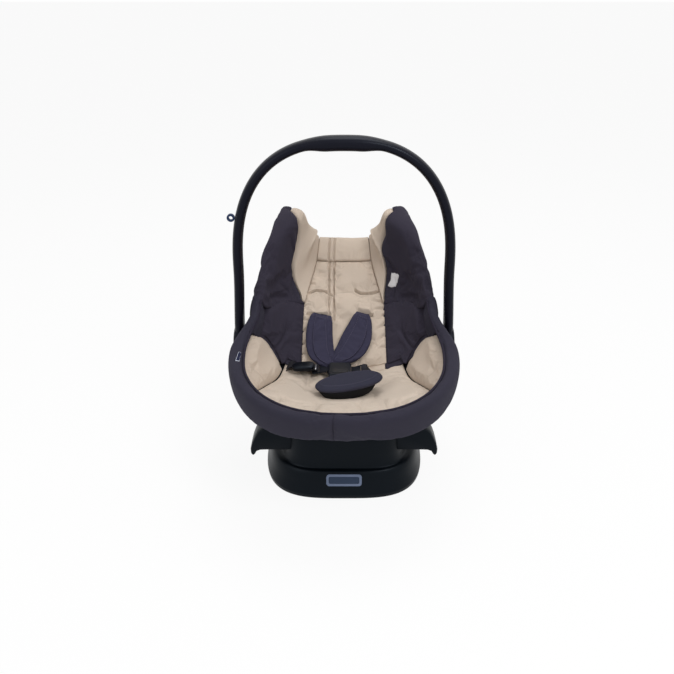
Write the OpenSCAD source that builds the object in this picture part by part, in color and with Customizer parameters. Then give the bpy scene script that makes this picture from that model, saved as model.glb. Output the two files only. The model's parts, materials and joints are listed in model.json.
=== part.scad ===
// Infant carrier with a swinging carry handle, standing on its vehicle base.
// Millimetres. +X is to the right of someone facing the foot end, -Y is the foot end, +Z is up.
// The origin is the middle of the base's flat underside.

/* [Base] */
// Half the width of the base at the floor
base_half_w = 158; // [150:1:170]
// Half the length of the base at the floor
base_half_l = 190; // [184:1:200]
// Distance of the base's centre behind the origin
base_centre_y = 15; // [0:1:20]
// Height of the lower skirt
skirt_height = 56; // [50:1:62]
// Wall of the base mouldings
base_wall = 3.2; // [2.5:0.1:4]
// Half the width of the cradle that stands on the skirt
cradle_half_w = 123; // [116:1:126]
// Half the length of the cradle
cradle_half_l = 167; // [160:1:168]
// Height of the cradle's rim above the floor
cradle_top = 118; // [114:1:122]
// Height of the tray inside the cradle
tray_z = 100; // [96:1:102]
// Reach of each belt guide from the middle of the base
guide_reach = 180; // [174:1:186]
// Length of each belt guide from front to back
guide_length = 46; // [36:1:56]
// Width of the badge on the front of the skirt
badge_w = 67; // [50:1:76]
// Height of the badge
badge_h = 23; // [18:1:26]

/* [Carrier shell] */
// Wall of the carrier shell
shell_wall = 4; // [3:0.1:5]
// Lowest height of the inside of the shell
floor_z = 162; // [158:1:170]
// Distance from the origin forward to the front of the rim
lip_reach = 284; // [270:1:296]
// Height of the rim at the front
lip_z = 250; // [242:1:262]
// Half the width of the rim at the hips
hip_half = 192; // [186:1:196]
// Half the width of the rim beside the handle hubs
hub_half = 176; // [170:1:178]
// Half the width of the rim at the tips of the wings
wing_half = 118; // [108:1:126]
// Height of the tips of the wings
wing_z = 444; // [430:1:460]
// Distance from the origin back to the tips of the wings
wing_y = 200; // [180:1:220]
// Distance from the origin back to the top edge of the back
head_y = 252; // [240:1:262]
// Height of the top edge of the back
head_z = 352; // [342:1:366]
// Squareness of the shell's cross-section at the seat, 2 is an ellipse
seat_power = 2.4; // [2.1:0.1:3]
// Squareness of the cross-section at the head
head_power = 3.2; // [2.6:0.1:3.6]

/* [Rocker rails] */
// Radius of the rocking curve under the rails
rocker_radius = 520; // [440:10:700]
// Lowest height of the rails while the carrier stands on the base
rocker_z = 112; // [108:0.5:116]
// Distance of each rail's middle from the centre line
rocker_x = 92; // [84:1:96]
// Thickness of each rail
rocker_w = 12; // [8:0.5:14]

/* [Cover] */
// Thickness of the foam liner
foam_thick = 7.5; // [5:0.5:10]
// Thickness of the padded cover on the back
pad_thick = 12; // [8:0.5:15]
// Thickness of the seat pad
seat_pad_thick = 19; // [14:0.5:24]
// How far the padded roll stands out past the rim at the sides
roll_out = 19; // [14:0.5:22]
// How far the padded roll stands out past the rim at the foot
roll_front = 13; // [10:0.5:18]
// How far the cover stands out past the rim beside the handle
slim_out = 12; // [9:0.5:14]
// How far the padded roll hangs down outside the rim at the foot
roll_drop = 50; // [36:1:56]
// Clearance between soft parts and what they lie on
soft_gap = 0.9; // [0.7:0.1:1.2]

/* [Handle] */
// Height of the hub axis above the floor
hub_z = 240; // [236:1:246]
// Distance of the hub axis behind the origin
hub_y = 15; // [8:1:20]
// Diameter of each handle hub
hub_d = 74; // [64:1:80]
// Thickness of each handle hub
hub_thick = 20; // [18:0.5:24]
// Height of the middle of the bar at the top of the arch
arch_top_z = 638; // [600:1:670]
// Height at which the legs start to curve in
arch_spring_z = 400; // [360:1:440]
// Size of the bar across the plane of the arch
bar_deep = 34; // [28:1:38]
// Size of the bar in the plane of the arch
bar_thin = 19; // [16:0.5:22]
// Size of the grip in the plane of the arch
grip_thin = 28; // [25:0.5:32]
// Length of the grip along the bar
grip_length = 130; // [100:1:160]
// Sideways clearance between a hub and the shell's boss
hub_gap = 0.5; // [0.3:0.1:1]
// Diameter of the hub pins
pin_d = 12; // [10:0.5:14]
// Radial clearance of the turning fits
running_gap = 0.08; // [0.04:0.01:0.1]
// Diameter of each lock button
button_d = 34; // [28:1:38]
// Radial clearance of the pressed fits
press_gap = 0.01; // [0.005:0.005:0.03]
// Travel of each lock button
button_travel = 4; // [3:0.5:5]

/* [Latch] */
// Diameter of the latch shaft
shaft_d = 8; // [6:0.5:10]
// Distance of the latch shaft behind the origin
shaft_y = 118; // [112:1:124]
// Height of the latch shaft
shaft_z = 168; // [164:1:174]
// Diameter of the catch bar on the base
catch_d = 10; // [8:0.5:12]
// Distance of the catch bar behind the origin
catch_y = 98; // [96:1:100]
// Height of the catch bar
catch_z = 130; // [128:1:132]
// Thickness of each latch hook
hook_w = 8; // [6:0.5:10]
// Distance of each latch hook from the centre line
hook_x = 60; // [54:1:62]

/* [Harness] */
// Width of the webbing
web_w = 35; // [32:1:38]
// Thickness of the webbing
web_t = 2; // [1.5:0.1:2.5]
// Distance of each shoulder slot from the centre line
shoulder_x = 49; // [44:1:54]
// Distance of each lap slot from the centre line
lap_x = 118; // [112:1:124]
// Sideways place of the buckle; the harness hangs a little to one side
buckle_x = -8; // [-12:1:0]
// Width of the buckle
buckle_w = 46; // [42:1:50]
// Length of the buckle
buckle_l = 52; // [46:1:60]
// Height of the buckle
buckle_h = 19; // [17:0.5:22]
// Travel of the buckle button
buckle_travel = 3; // [2:0.5:4]

/* [Hidden] */
$fn = 64;

// ---- small helpers ----
function mix(a, b, t) = a + (b - a) * t;
function unit(v) = v / norm(v);
function flat(lists) = [for (l = lists) each l];
function flip(list) = [for (i = [len(list) - 1:-1:0]) list[i]];
function clamp(v, lo, hi) = min(max(v, lo), hi);
function ease(v) = let (u = clamp(v, 0, 1)) u * u * (3 - 2 * u);
function mirrored(p) = [-p[0], p[1], p[2]];

// Value of a smooth curve through keys, where u counts keys from 0
function spline_at(keys, u) =
    let (n = len(keys) - 1, i = clamp(floor(u), 0, n - 1), w = u - i, b = keys[i], c = keys[i + 1])
    let (a = i > 0 ? keys[i - 1] : 2 * b - c, d = i < n - 1 ? keys[i + 2] : 2 * c - b)
    b + w * (c - a) / 2 + w * w * (2 * a - 5 * b + 4 * c - d) / 2
        + w * w * w * (3 * b - a - 3 * c + d) / 2;

// Squared-off oval in a level plane, counter-clockwise from above
function oval(half_w, half_l, power, y0, z, n = 48) = [
    for (i = [0:n - 1])
        let (c = cos(360 * i / n), s = sin(360 * i / n))
        [sign(c) * half_w * pow(abs(c), 2 / power), y0 + sign(s) * half_l * pow(abs(s), 2 / power), z]
];

// Solid through a row of rings that each turn counter-clockwise about the way the row runs
module skin(rings) {
    m = len(rings[0]);
    n = len(rings);
    first = n * m;
    mid = function(ring) [for (k = [0:2]) [for (p = ring) p[k]] * [for (p = ring) 1] / m];
    sides = [
        for (i = [0:n - 2], j = [0:m - 1])
            let (a = i * m + j, b = i * m + (j + 1) % m)
            each [[a, a + m, b + m], [a, b + m, b]]
    ];
    start = [for (j = [0:m - 1]) [first, j, (j + 1) % m]];
    end = [for (j = [0:m - 1]) [first + 1, (n - 1) * m + (j + 1) % m, (n - 1) * m + j]];
    polyhedron(concat(flat(rings), [mid(rings[0]), mid(rings[n - 1])]), concat(sides, start, end));
}

// Solid between two grids of points, seen from outside the top grid with rows running up
module slab(top, under) {
    rows = len(top);
    cols = len(top[0]);
    n = rows * cols;
    quads = [
        for (i = [0:rows - 2], j = [0:cols - 2])
            let (a = i * cols + j, b = a + cols)
            each [[a, b, b + 1], [a, b + 1, a + 1], [n + a, n + b + 1, n + b], [n + a, n + a + 1, n + b + 1]]
    ];
    edge = concat(
        [for (j = [0:cols - 2]) j],
        [for (i = [0:rows - 2]) i * cols + cols - 1],
        [for (j = [cols - 1:-1:1]) (rows - 1) * cols + j],
        [for (i = [rows - 1:-1:1]) i * cols]
    );
    m = len(edge);
    walls = [
        for (k = [0:m - 1])
            let (a = edge[k], b = edge[(k + 1) % m])
            each [[a, b, n + b], [a, n + b, n + a]]
    ];
    polyhedron(concat(flat(top), flat(under)), concat(quads, walls));
}

module both_sides() {
    children();
    mirror([1, 0, 0]) children();
}

// Cylinder along X between two distances from the centre line
module rod_x(d, x0, x1, y, z) {
    translate([x0, y, z]) rotate([0, 90, 0]) cylinder(d = d, h = x1 - x0);
}

// ---- the bucket: one surface that the shell, foam and pads all follow ----
hip_y = -90;
rocker_mid_y = hub_y - 5;
pin_in = hub_half + shell_wall + 1;
rim_front_length = lip_reach + hip_y;
floor_back_y = -20;
floor_rise = 75;
hip_rim_z = lip_z + 20;

function floor_at(y) = floor_z + floor_rise * pow(max(floor_back_y - y, 0) / (lip_reach + floor_back_y - 6), 2);

// One station of the front: the angle runs from 0 at the toe to 90 at the hips
function front_station(a) =
    let (y = hip_y - rim_front_length * pow(cos(a), 0.9), floor_y = mix(y + 6, y + 2, a / 90))
    [hip_half * pow(sin(a), 0.9), y, mix(lip_z, hip_rim_z, pow(a / 90, 2)), floor_y, floor_at(floor_y)];

// Between the shoulders and the wings the rim and the back both run almost straight
shoulder_station = [hub_half - 5, hub_y + 23, lip_z + 72, hub_y + 35, floor_z + 28];
wing_station = [wing_half, wing_y, wing_z, head_y, head_z];
function upper_station(share, widen, rise) = mix(shoulder_station, wing_station, share) + [widen, 0, rise, 0, 0];

// Each station: half width of the rim, rim y, rim z, floor y, floor z
STATIONS = concat(
    [for (a = [10, 24, 38, 54, 72, 90]) front_station(a)],
    [
        [hip_half - 6, hub_y - 60, lip_z + 33, hub_y - 55, floor_z + 1],
        [hub_half, hub_y - 15, lip_z + 48, hub_y - 7, floor_z + 4],
        shoulder_station,
        upper_station(0.32, 4, 12),
        upper_station(0.64, 4, 19),
        wing_station
    ]
);
LAP = 6.7;
SHOULDER = 8;
HEAD = 11;

// The cross-section is rounder at the seat and squarer at the head
function power_at(s) = mix(seat_power, head_power, ease((s - SHOULDER) / (HEAD - SHOULDER)));

// Point of the bucket's inner surface: s counts stations, t runs from -1 at one rim to 1 at the other
function bucket(s, t) =
    let (k = spline_at(STATIONS, s), e = 2 / power_at(s), c = pow(cos(90 * abs(t)), e))
    [(t < 0 ? -1 : 1) * k[0] * pow(sin(90 * abs(t)), e), mix(k[1], k[3], c), mix(k[2], k[4], c)];

// Direction into the bucket
function inward(s, t) =
    let (e = 0.04, f = 0.004, t0 = max(t - f, -1), t1 = min(t + f, 1))
    unit(cross(bucket(s, t1) - bucket(s, t0), bucket(s + e, t) - bucket(s - e, t)));

function surf(s, t, o) = bucket(s, t) + o * inward(s, t);
// The t at which the inner surface is a distance x from the centre line
function t_at(s, x) =
    let (r = clamp(abs(x) / spline_at(STATIONS, s)[0], 0, 1))
    sign(x) * asin(pow(r, power_at(s) / 2)) / 90;
function on_pad(s, x, o) = surf(s, t_at(s, x), o);

// Point beside the rim on the +X side: out past the shell's inner face, up above its edge
function rim_point(s, out, up) = let (n = inward(s, 1), rise = bucket(s, 1) - bucket(s, 0.97))
    bucket(s, 1) - out * n + up * unit(rise);

pad_under = foam_thick + 2 * soft_gap;
pad_top = pad_under + pad_thick;

// Grid of points over a patch; lo and hi give the limits of t or s along the other direction
function grid(rows, cols, at) = [for (i = [0:rows]) [for (j = [0:cols]) at(i / rows, j / cols)]];
function crown(u, v, p = 6) = (1 - pow(abs(2 * u - 1), p)) * (1 - pow(abs(2 * v - 1), p));

// Padded patch of the bucket: sat and tat give s and t for each share of the patch
module pad(rows, cols, sat, tat, under, top, edge = 0.45) {
    slab(
        grid(rows, cols, function(u, v) surf(sat(u, v), tat(u, v), mix(under, top, mix(edge, 1, crown(u, v))))),
        grid(rows, cols, function(u, v) surf(sat(u, v), tat(u, v), under))
    );
}

// ---- base ----
skirt_power = 3.4;
cradle_power = 4.6;
module base_skirt() {
    inset = function(d, z) oval(base_half_w - d, base_half_l - d, skirt_power, base_centre_y, z);
    w = base_wall;
    top = skirt_height;
    color("#171b22") difference() {
        skin([
            inset(32, top - w), inset(20, top - w - 1), inset(11 + w, top - 9), inset(5 + w, top * 0.5),
            inset(w, 10), inset(w + 2, 0), inset(4, 0), inset(1, 3), inset(0, 10), inset(5, top * 0.5),
            inset(11, top - 8), inset(14, top - 2.5), inset(19, top), inset(38, top)
        ]);
        badge_place() badge_block(badge_w + 0.2, badge_h + 0.2, 6.1, 8);
    }
}

module cradle_tub() {
    ring = function(d, z) oval(cradle_half_w - d, cradle_half_l - d, cradle_power, base_centre_y, z);
    w = base_wall;
    foot = skirt_height + 0.05;
    skin([
        ring(16, tray_z - w), ring(8, tray_z - w - 6), ring(w, foot + 4), ring(w, foot), ring(0, foot),
        ring(1, foot + 14), ring(3, cradle_top - 8), ring(4, cradle_top - 2), ring(6, cradle_top),
        ring(8, cradle_top), ring(9.5, cradle_top - 3), ring(11, tray_z + 2), ring(13, tray_z)
    ]);
}

// Solid space of the cradle, grown by a gap
module cradle_space(gap) {
    ring = function(d, z) oval(cradle_half_w - d + gap, cradle_half_l - d + gap, cradle_power, base_centre_y, z);
    foot = skirt_height + 0.05;
    skin([
        ring(0, foot - 20), ring(0, foot), ring(1, foot + 14), ring(3, cradle_top - 8), ring(4, cradle_top - 2),
        ring(6, cradle_top), ring(6, cradle_top + 20)
    ]);
}

// Two saddles a side, hollowed to the rocking curve
module saddles() {
    saddle_l = 34;
    difference() {
        both_sides() for (y = [-60, 62])
            translate([rocker_x - rocker_w / 2 - 3, rocker_mid_y + y - saddle_l / 2, tray_z - 1])
                cube([rocker_w + 6, saddle_l, rocker_z - tray_z + 8]);
        translate([-150, rocker_mid_y, rocker_z + rocker_radius]) rotate([0, 90, 0])
            cylinder(r = rocker_radius + 0.3, h = 300, $fn = 360);
    }
}

module base_cradle() {
    color("#12171e") union() {
        cradle_tub();
        saddles();
    }
}

foot_d = 26;
module base_feet() {
    color("#0d0d0f") both_sides() for (y = [-92, 0, 108]) difference() {
        translate([base_half_w - 44, base_centre_y + y, 0]) cylinder(d = foot_d, h = 9);
        translate([base_half_w - 44, base_centre_y + y, -1]) cylinder(d = 8, h = 6);
    }
    color("#12171e") both_sides() for (y = [-92, 0, 108])
        translate([base_half_w - 44, base_centre_y + y, 9]) cylinder(d = 12, h = skirt_height - base_wall - 9.5);
}

screw_x = cradle_half_w - 30;
module base_screws() {
    color("#8a8d92") both_sides() for (y = [-95, 120]) translate([screw_x, base_centre_y + y, 0]) {
        translate([0, 0, skirt_height - base_wall - 3]) cylinder(d = 10, h = 3);
    }
}

badge_tilt = 17;
badge_sink = 1.2;
badge_y = base_centre_y - base_half_l + 8.4;
badge_z = skirt_height * 0.7;
module badge_place() {
    translate([0, badge_y, badge_z]) rotate([90 - badge_tilt, 0, 0]) translate([0, 0, -badge_sink]) children();
}
module badge_block(w, h, r, thick) {
    hull() for (x = [-1, 1], y = [-1, 1])
        translate([x * (w / 2 - r), y * (h / 2 - r), 0]) cylinder(r = r, h = thick, $fn = 32);
}
module badge_frame() {
    color("#767c8c") badge_place() difference() {
        badge_block(badge_w, badge_h, 6, 3);
        translate([0, 0, -1]) badge_block(badge_w - 9, badge_h - 9, 3, 5);
    }
}
module badge_plate() {
    color("#3b465c") badge_place() badge_block(badge_w - 9.4, badge_h - 9.4, 2.8, 2.2);
}

// A belt guide: a stout bracket on the cradle's side that turns down into a hook
guide_y = -108;
module belt_guide() {
    x = guide_reach;
    z = cradle_top;
    difference() {
        translate([0, guide_y + guide_length / 2, 0]) rotate([90, 0, 0]) linear_extrude(guide_length) polygon([
            [x - 85, z - 36], [x - 85, z + 6], [x - 44, z + 13], [x - 28, z + 11], [x - 16, z + 4], [x - 8, z - 10],
            [x - 3, z - 24], [x, z - 36], [x - 0.5, z - 46], [x - 4, z - 50], [x - 9, z - 44], [x - 16, z - 38],
            [x - 30, z - 37]
        ]);
        cradle_space(0.1);
    }
}
module belt_guide_left() { color("#1b2025") mirror([1, 0, 0]) belt_guide(); }
module belt_guide_right() { color("#1b2025") belt_guide(); }

bracket_x = 74;
bracket_w = 10;
module catch_brackets() {
    color("#9a9ca0") both_sides() difference() {
        hull() {
            translate([bracket_x - bracket_w / 2, catch_y - 16, tray_z]) cube([bracket_w, 32, 4]);
            rod_x(24, bracket_x - bracket_w / 2, bracket_x + bracket_w / 2, catch_y, catch_z);
        }
        rod_x(catch_d + 0.1, 0, 120, catch_y, catch_z);
    }
}
module catch_bar() {
    color("#b8babd") rod_x(catch_d, -bracket_x - bracket_w / 2 - 1, bracket_x + bracket_w / 2 + 1, catch_y, catch_z);
}

// ---- carrier shell and liner ----
module strap_slot(s, x, long, wide, turn) {
    p = on_pad(s, x, 0);
    n = inward(s, t_at(s, x));
    lean = atan2(-n[1], n[2]);
    side = asin(n[0]);
    translate(p) rotate([lean, side, 0]) rotate([0, 0, turn]) cube([long, wide, 90], center = true);
}
SHOULDER_SLOT = 9.25;
CROTCH_SLOT = 5.1;
module harness_slots() {
    both_sides() strap_slot(SHOULDER_SLOT, shoulder_x, web_w + 9, 13, 0);
    both_sides() strap_slot(LAP, lap_x, 9, web_w + 6, 0);
    strap_slot(CROTCH_SLOT, 0, web_w + 6, 9, 0);
}

boss_face = hub_half + shell_wall + 16.5;
module hub_boss() {
    difference() {
        rod_x(hub_d - 8, hub_half - 20, boss_face, hub_y, hub_z);
        slab(
            grid(8, 8, function(u, v) surf(mix(5.6, 8.6, u), mix(0.45, 1, v), 60)),
            grid(8, 8, function(u, v) surf(mix(5.6, 8.6, u), mix(0.45, 1, v), -shell_wall / 2))
        );
        rod_x(pin_d + 2 * press_gap, pin_in - 0.5, boss_face + 1, hub_y, hub_z);
    }
}
// The shell's wall between two values of t, grown inwards and outwards by two gaps
module shell_slab(into, out, t0 = -1, t1 = 1) {
    cols = round(12 * (t1 - t0));
    slab(
        grid(28, cols, function(u, v) surf(mix(0, HEAD, u), mix(t0, t1, v), into)),
        grid(28, cols, function(u, v) surf(mix(0, HEAD, u), mix(t0, t1, v), -shell_wall - out))
    );
}
module carrier_shell() {
    color("#1d1c22") difference() {
        shell_slab(0, 0);
        harness_slots();
    }
    color("#1d1c22") both_sides() hub_boss();
}

// The rail hangs from the shell; its lower edge is the rocking arc, which runs out into the shell at both ends
function rocker_low(y) = rocker_z + rocker_radius - sqrt(pow(rocker_radius, 2) - pow(y - rocker_mid_y, 2));
function rocker_ring(u) =
    let (s = mix(3.3, 10.3, (u + 1) / 2), o = -shell_wall / 2, x0 = rocker_x - rocker_w / 2, x1 = x0 + rocker_w)
    let (a = on_pad(s, x0, o), b = on_pad(s, x1, o), y = b[1], top = min(a[2], b[2]))
    let (low = mix(rocker_low(y), top - 5, pow(abs(u), 6)))
    [[x0, y, low], [x0, y, top], [x1, y, b[2]], [x1, y, low]];
module rocker() {
    difference() {
        skin([for (i = [0:24]) rocker_ring(i / 12 - 1)]);
        shell_slab(3, 0.4, 1 / 6, 5 / 6);
        rod_x(shaft_d + 2 * running_gap, 0, 200, shaft_y, shaft_z);
    }
}
module rocker_left() { color("#19191e") mirror([1, 0, 0]) rocker(); }
module rocker_right() { color("#19191e") rocker(); }

module foam_liner() {
    liner = function(u, v, o) surf(mix(7.35, HEAD - 0.35, u), mix(-0.8, 0.8, v), o);
    color("#d8d8d4") difference() {
        slab(
            grid(12, 14, function(u, v) liner(u, v, soft_gap + foam_thick)),
            grid(12, 14, function(u, v) liner(u, v, soft_gap))
        );
        harness_slots();
    }
}

// ---- cover ----
lobe_outer_t = 0.96;
// Edge between the seat pad and a side lobe
function seat_edge(s) = min(lobe_outer_t, 0.44 + 0.52 * pow(clamp((6.4 - s) / 3.5, 0, 1), 2));
module seat_pad() {
    color("#cbb9a9") difference() {
        pad(20, 16, function(u, v) mix(0.15, 7.1, u), function(u, v) seat_edge(mix(0.15, 7.1, u)) * (2 * v - 1),
            soft_gap, seat_pad_thick);
        harness_slots();
    }
}
// A lobe is a petal: it opens along the rim and its rear edge bows back between two tips
function lobe_back(t) = 6.3 + 0.95 * pow(max(sin(180 * (t - 0.43) / 0.54), 0), 0.8);
module side_lobe() {
    sat = function(u, v) mix(3.2, lobe_back(mix(0.465, lobe_outer_t, v)), u);
    pad(13, 8, sat, function(u, v) mix(seat_edge(sat(u, v)) + 0.025, lobe_outer_t, v), soft_gap, seat_pad_thick);
}
module side_lobe_left() { color("#c6b5a7") mirror([1, 0, 0]) side_lobe(); }
module side_lobe_right() { color("#c6b5a7") side_lobe(); }

// Half width of the quilted back: narrow at the head, full from the shoulders down
function back_half(s) = mix(88, 57, ease((s - 9) / (HEAD - 9)));
module back_pad() {
    color("#bfb1a4") difference() {
        pad(16, 12, function(u, v) mix(7.3, HEAD - 0.45, u),
            function(u, v) let (s = mix(7.3, HEAD - 0.45, u)) t_at(s, back_half(s)) * (2 * v - 1),
            pad_under, pad_top);
        harness_slots();
    }
}

// Front edge of the dark side panel: behind the seat pad, then along the rear edge of the lobe
function panel_front(t) = mix(7.22, lobe_back(t) + 0.13, ease((t - 0.445) / 0.03));
module side_panel() {
    tat = function(v) mix(t_at(SHOULDER, back_half(SHOULDER) + 3), 0.955, v);
    sat = function(u, v) mix(panel_front(tat(v)), SHOULDER + 0.15, u);
    under = function(v) mix(pad_under, soft_gap, ease((v - 0.74) / 0.2));
    slab(
        grid(8, 9, function(u, v) surf(sat(u, v), tat(v), under(v) + mix(4, pad_thick - 2, crown(u, v)))),
        grid(8, 9, function(u, v) surf(sat(u, v), tat(v), under(v)))
    );
}
module side_panel_left() { color("#38374a") mirror([1, 0, 0]) side_panel(); }
module side_panel_right() { color("#38374a") side_panel(); }

// ---- wings: one section climbs the wall, rolls over the rim and hangs outside it ----
wing_drop = 34;
wing_out = 16;
ear = 7;
bolster = 18;
wall_keys = 5;
function wing_fade(s) = ease((s - 8.6) / 2);
function seam_t(s) = t_at(s, back_half(s) + 2);
function wall_t(s, k) = mix(seam_t(s), 0.93, k / wall_keys);
// Padding on the wall: level at the seam with the back, fullest half way up
function wall_pad(s, w) = pad_top - 4 * (1 - wing_fade(s)) * w + ear * wing_fade(s) * w
    + bolster * ease((s - 9.2) / 1.8) * (1 - pow(2 * w - 1, 2));
function wing_top(s) = let (f = wing_fade(s), r = mix(slim_out, wing_out, f)) concat(
    [for (k = [0:wall_keys]) surf(s, wall_t(s, k), wall_pad(s, k / wall_keys))],
    [
        rim_point(s, -mix(9, 22, f), mix(5, 7, f)), rim_point(s, -mix(2, 8, f), mix(9, 16, f)),
        rim_point(s, r * 0.6, mix(7, 12, f)), rim_point(s, r, mix(-3, 1, f)),
        rim_point(s, r, -wing_drop * 0.6), rim_point(s, r * 0.8, -wing_drop)
    ]
);
function wing_under(s) = let (c = shell_wall + soft_gap) concat(
    [for (k = [0:wall_keys]) surf(s, wall_t(s, k), k < wall_keys ? pad_under : 4)],
    [rim_point(s, -3, -1), rim_point(s, -1, 1.2), rim_point(s, c, 1.2), rim_point(s, c, -4),
        rim_point(s, c, -wing_drop * 0.6), rim_point(s, c, -wing_drop)]
);
wing_keys = wall_keys + 6;
// Place along the section where the beige lining meets the dark cover, for each half station above 9
COLOUR_EDGE = [0, 0.8, 3.6, 5, 7.4];
function colour_edge(s) = spline_at([for (k = COLOUR_EDGE) [k]], clamp(2 * (s - 9), 0, 4.2))[0];
// Part of a wing between two places along the section
module wing_strip(s0, s1, rows, cols, from, to) {
    at = function(keys, s, v) spline_at(keys, mix(from(s), to(s), v));
    edge = function(v) 1 - 0.4 * pow(abs(2 * v - 1), 6);
    stations = [for (i = [0:rows]) mix(s0, s1, i / rows)];
    slab(
        [for (s = stations) let (a = wing_top(s), b = wing_under(s))
            [for (j = [0:cols]) mix(at(b, s, j / cols), at(a, s, j / cols), edge(j / cols))]],
        [for (s = stations) let (b = wing_under(s)) [for (j = [0:cols]) at(b, s, j / cols)]]
    );
}
wing_end = HEAD + 0.08;
module wing_lining() {
    wing_strip(9.35, wing_end, 11, 7, function(s) 0, function(s) colour_edge(s) - 0.12);
}
module wing_lining_left() { color("#c8b8a8") mirror([1, 0, 0]) wing_lining(); }
module wing_lining_right() { color("#c8b8a8") wing_lining(); }
module wing_cover() {
    wing_strip(SHOULDER + 0.22, wing_end, 15, 12, function(s) s < 9.3 ? 0 : colour_edge(s), function(s) wing_keys);
}
module wing_cover_left() { color("#3c3849") mirror([1, 0, 0]) wing_cover(); }
module wing_cover_right() { color("#3c3849") wing_cover(); }

// Beige cover over the top edge of the back; at the wings it only binds the end of their padding
module head_cover() {
    over = [
        [-0.4, pad_top - 3], [-0.15, pad_top], [0.1, pad_top - 2], [0.28, 8],
        [0.28, -5], [0.1, -13], [-0.2, -14], [-0.6, -12]
    ];
    back = -shell_wall - soft_gap;
    under = [
        [-0.4, pad_under], [-0.2, pad_under], [0.02, 8], [0.05, 4],
        [0.05, -3], [0.03, back], [-0.2, back], [-0.6, back]
    ];
    edge_t = 0.9;
    seam = seam_t(HEAD);
    // Columns from the centre line out: three on the back, then those that bind a wing
    share = concat([for (j = [0:3]) (seam - 0.015) * j / 3], [for (j = [0:6]) mix(seam - 0.004, edge_t, j / 6)]);
    columns = concat([for (t = flip(share)) -t], [for (j = [1:10]) share[j]]);
    swell = function(t, o) let (w = clamp((abs(t) - seam) / (0.93 - seam), 0, 1))
        abs(t) < seam - 0.01 || o < 7 ? 0 : (ear * w + bolster * (1 - pow(2 * w - 1, 2))) * (o > 8 ? 1 : 0.7);
    start = function(k, t, first) abs(t) < seam - 0.01 || k[1] < 7 ? k[0] : max(k[0], first);
    rows = function(path, first) [
        for (k = path) [for (t = columns)
            surf(HEAD + start(k, t, first), k[1] < 0 ? t * 0.92 : t, k[1] + swell(t, k[1]))]
    ];
    color("#c9bfb5") slab(rows(over, 0.16), rows(under, 0.15));
}

// Padded roll round the foot and both hips
function roll_side(s) = s < 5
    ? mix(roll_front, roll_out, ease((s - 3) / 2))
    : mix(roll_out, slim_out, ease((s - 5.2) / 1.4));
function roll_hang(s) = mix(roll_drop, 13, ease((s - 4.9) / 1.6));
function roll_outer(s) = let (r = roll_side(s), d = roll_hang(s)) [
    rim_point(s, -7, 2.5), rim_point(s, -6, 7), rim_point(s, -1, 11), rim_point(s, r * 0.6, 9),
    rim_point(s, r, -1), rim_point(s, r, -d * 0.45), rim_point(s, mix(r, shell_wall + 3, 0.4), -d * 0.85),
    rim_point(s, shell_wall + 3, -d)
];
function roll_inner(s) = let (c = shell_wall + soft_gap, d = roll_hang(s)) [
    rim_point(s, -5, 1.4), rim_point(s, -3, 1), rim_point(s, -0.8, 1), rim_point(s, c, 1),
    rim_point(s, c, -2), rim_point(s, c, -d * 0.45), rim_point(s, c, -d * 0.85),
    rim_point(s, c, -d)
];
module rim_cover() {
    half = [for (i = [0:22]) mix(0, SHOULDER + 0.1, i / 22)];
    // From the far shoulder on the -X side round the toe to the +X side
    sweep = function(side) concat(
        [for (s = flip(half)) [for (p = side(s)) mirrored(p)]],
        [for (s = half) side(s)]
    );
    color("#38374a") slab(sweep(function(s) flip(roll_outer(s))), sweep(function(s) flip(roll_inner(s))));
}

// ---- handle ----
hub_in = boss_face + hub_gap;
hub_out = hub_in + hub_thick;
bar_x = hub_in + bar_thin / 2;
arch_power = 2.5;
leg_lean = 5;

// Middle of the bar in the plane of the arch, as [x, z], for an angle from 0 at one leg to 180
function arch_point(a) = [
    sign(cos(a)) * (bar_x - leg_lean) * pow(abs(cos(a)), 2 / arch_power),
    arch_spring_z + (arch_top_z - arch_spring_z) * pow(sin(a), 2 / arch_power)
];
leg_points = [
    for (k = [0:5]) [mix(bar_x, bar_x - leg_lean, ease(k / 6)), mix(hub_z + hub_d * 0.36, arch_spring_z, k / 6)]
];
arch_path = concat(
    leg_points,
    [for (i = [0:32]) arch_point(180 * i / 32)],
    flip([for (p = leg_points) [-p[0], p[1]]])
);
function oval_ring(p, along, thin, deep, n = 14) =
    let (across = unit([along[1], 0, -along[0]]))
    [for (i = [0:n - 1])
        let (c = cos(360 * i / n), s = sin(360 * i / n))
        [p[0], hub_y, p[1]] + across * thin / 2 * sign(c) * pow(abs(c), 0.8)
            + [0, 1, 0] * deep / 2 * sign(s) * pow(abs(s), 0.8)];
function along_path(path, i) = path[min(i + 1, len(path) - 1)] - path[max(i - 1, 0)];

module bar_tube() {
    skin([
        for (i = [0:len(arch_path) - 1])
            let (near_hub = ease((hub_z + 100 - arch_path[i][1]) / 90))
            oval_ring(arch_path[i], along_path(arch_path, i), bar_thin, mix(bar_deep, hub_d * 0.62, near_hub))
    ]);
}
recess_x = hub_in + 7;
module handle_bar() {
    color("#2a292f") difference() {
        union() {
            bar_tube();
            both_sides() rod_x(hub_d, hub_in, hub_out, hub_y, hub_z);
        }
        both_sides() rod_x(pin_d + 2 * running_gap, hub_in - 1, hub_out + 1, hub_y, hub_z);
        both_sides() rod_x(button_d + 1, recess_x, hub_out + 10, hub_y, hub_z);
    }
}

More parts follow.
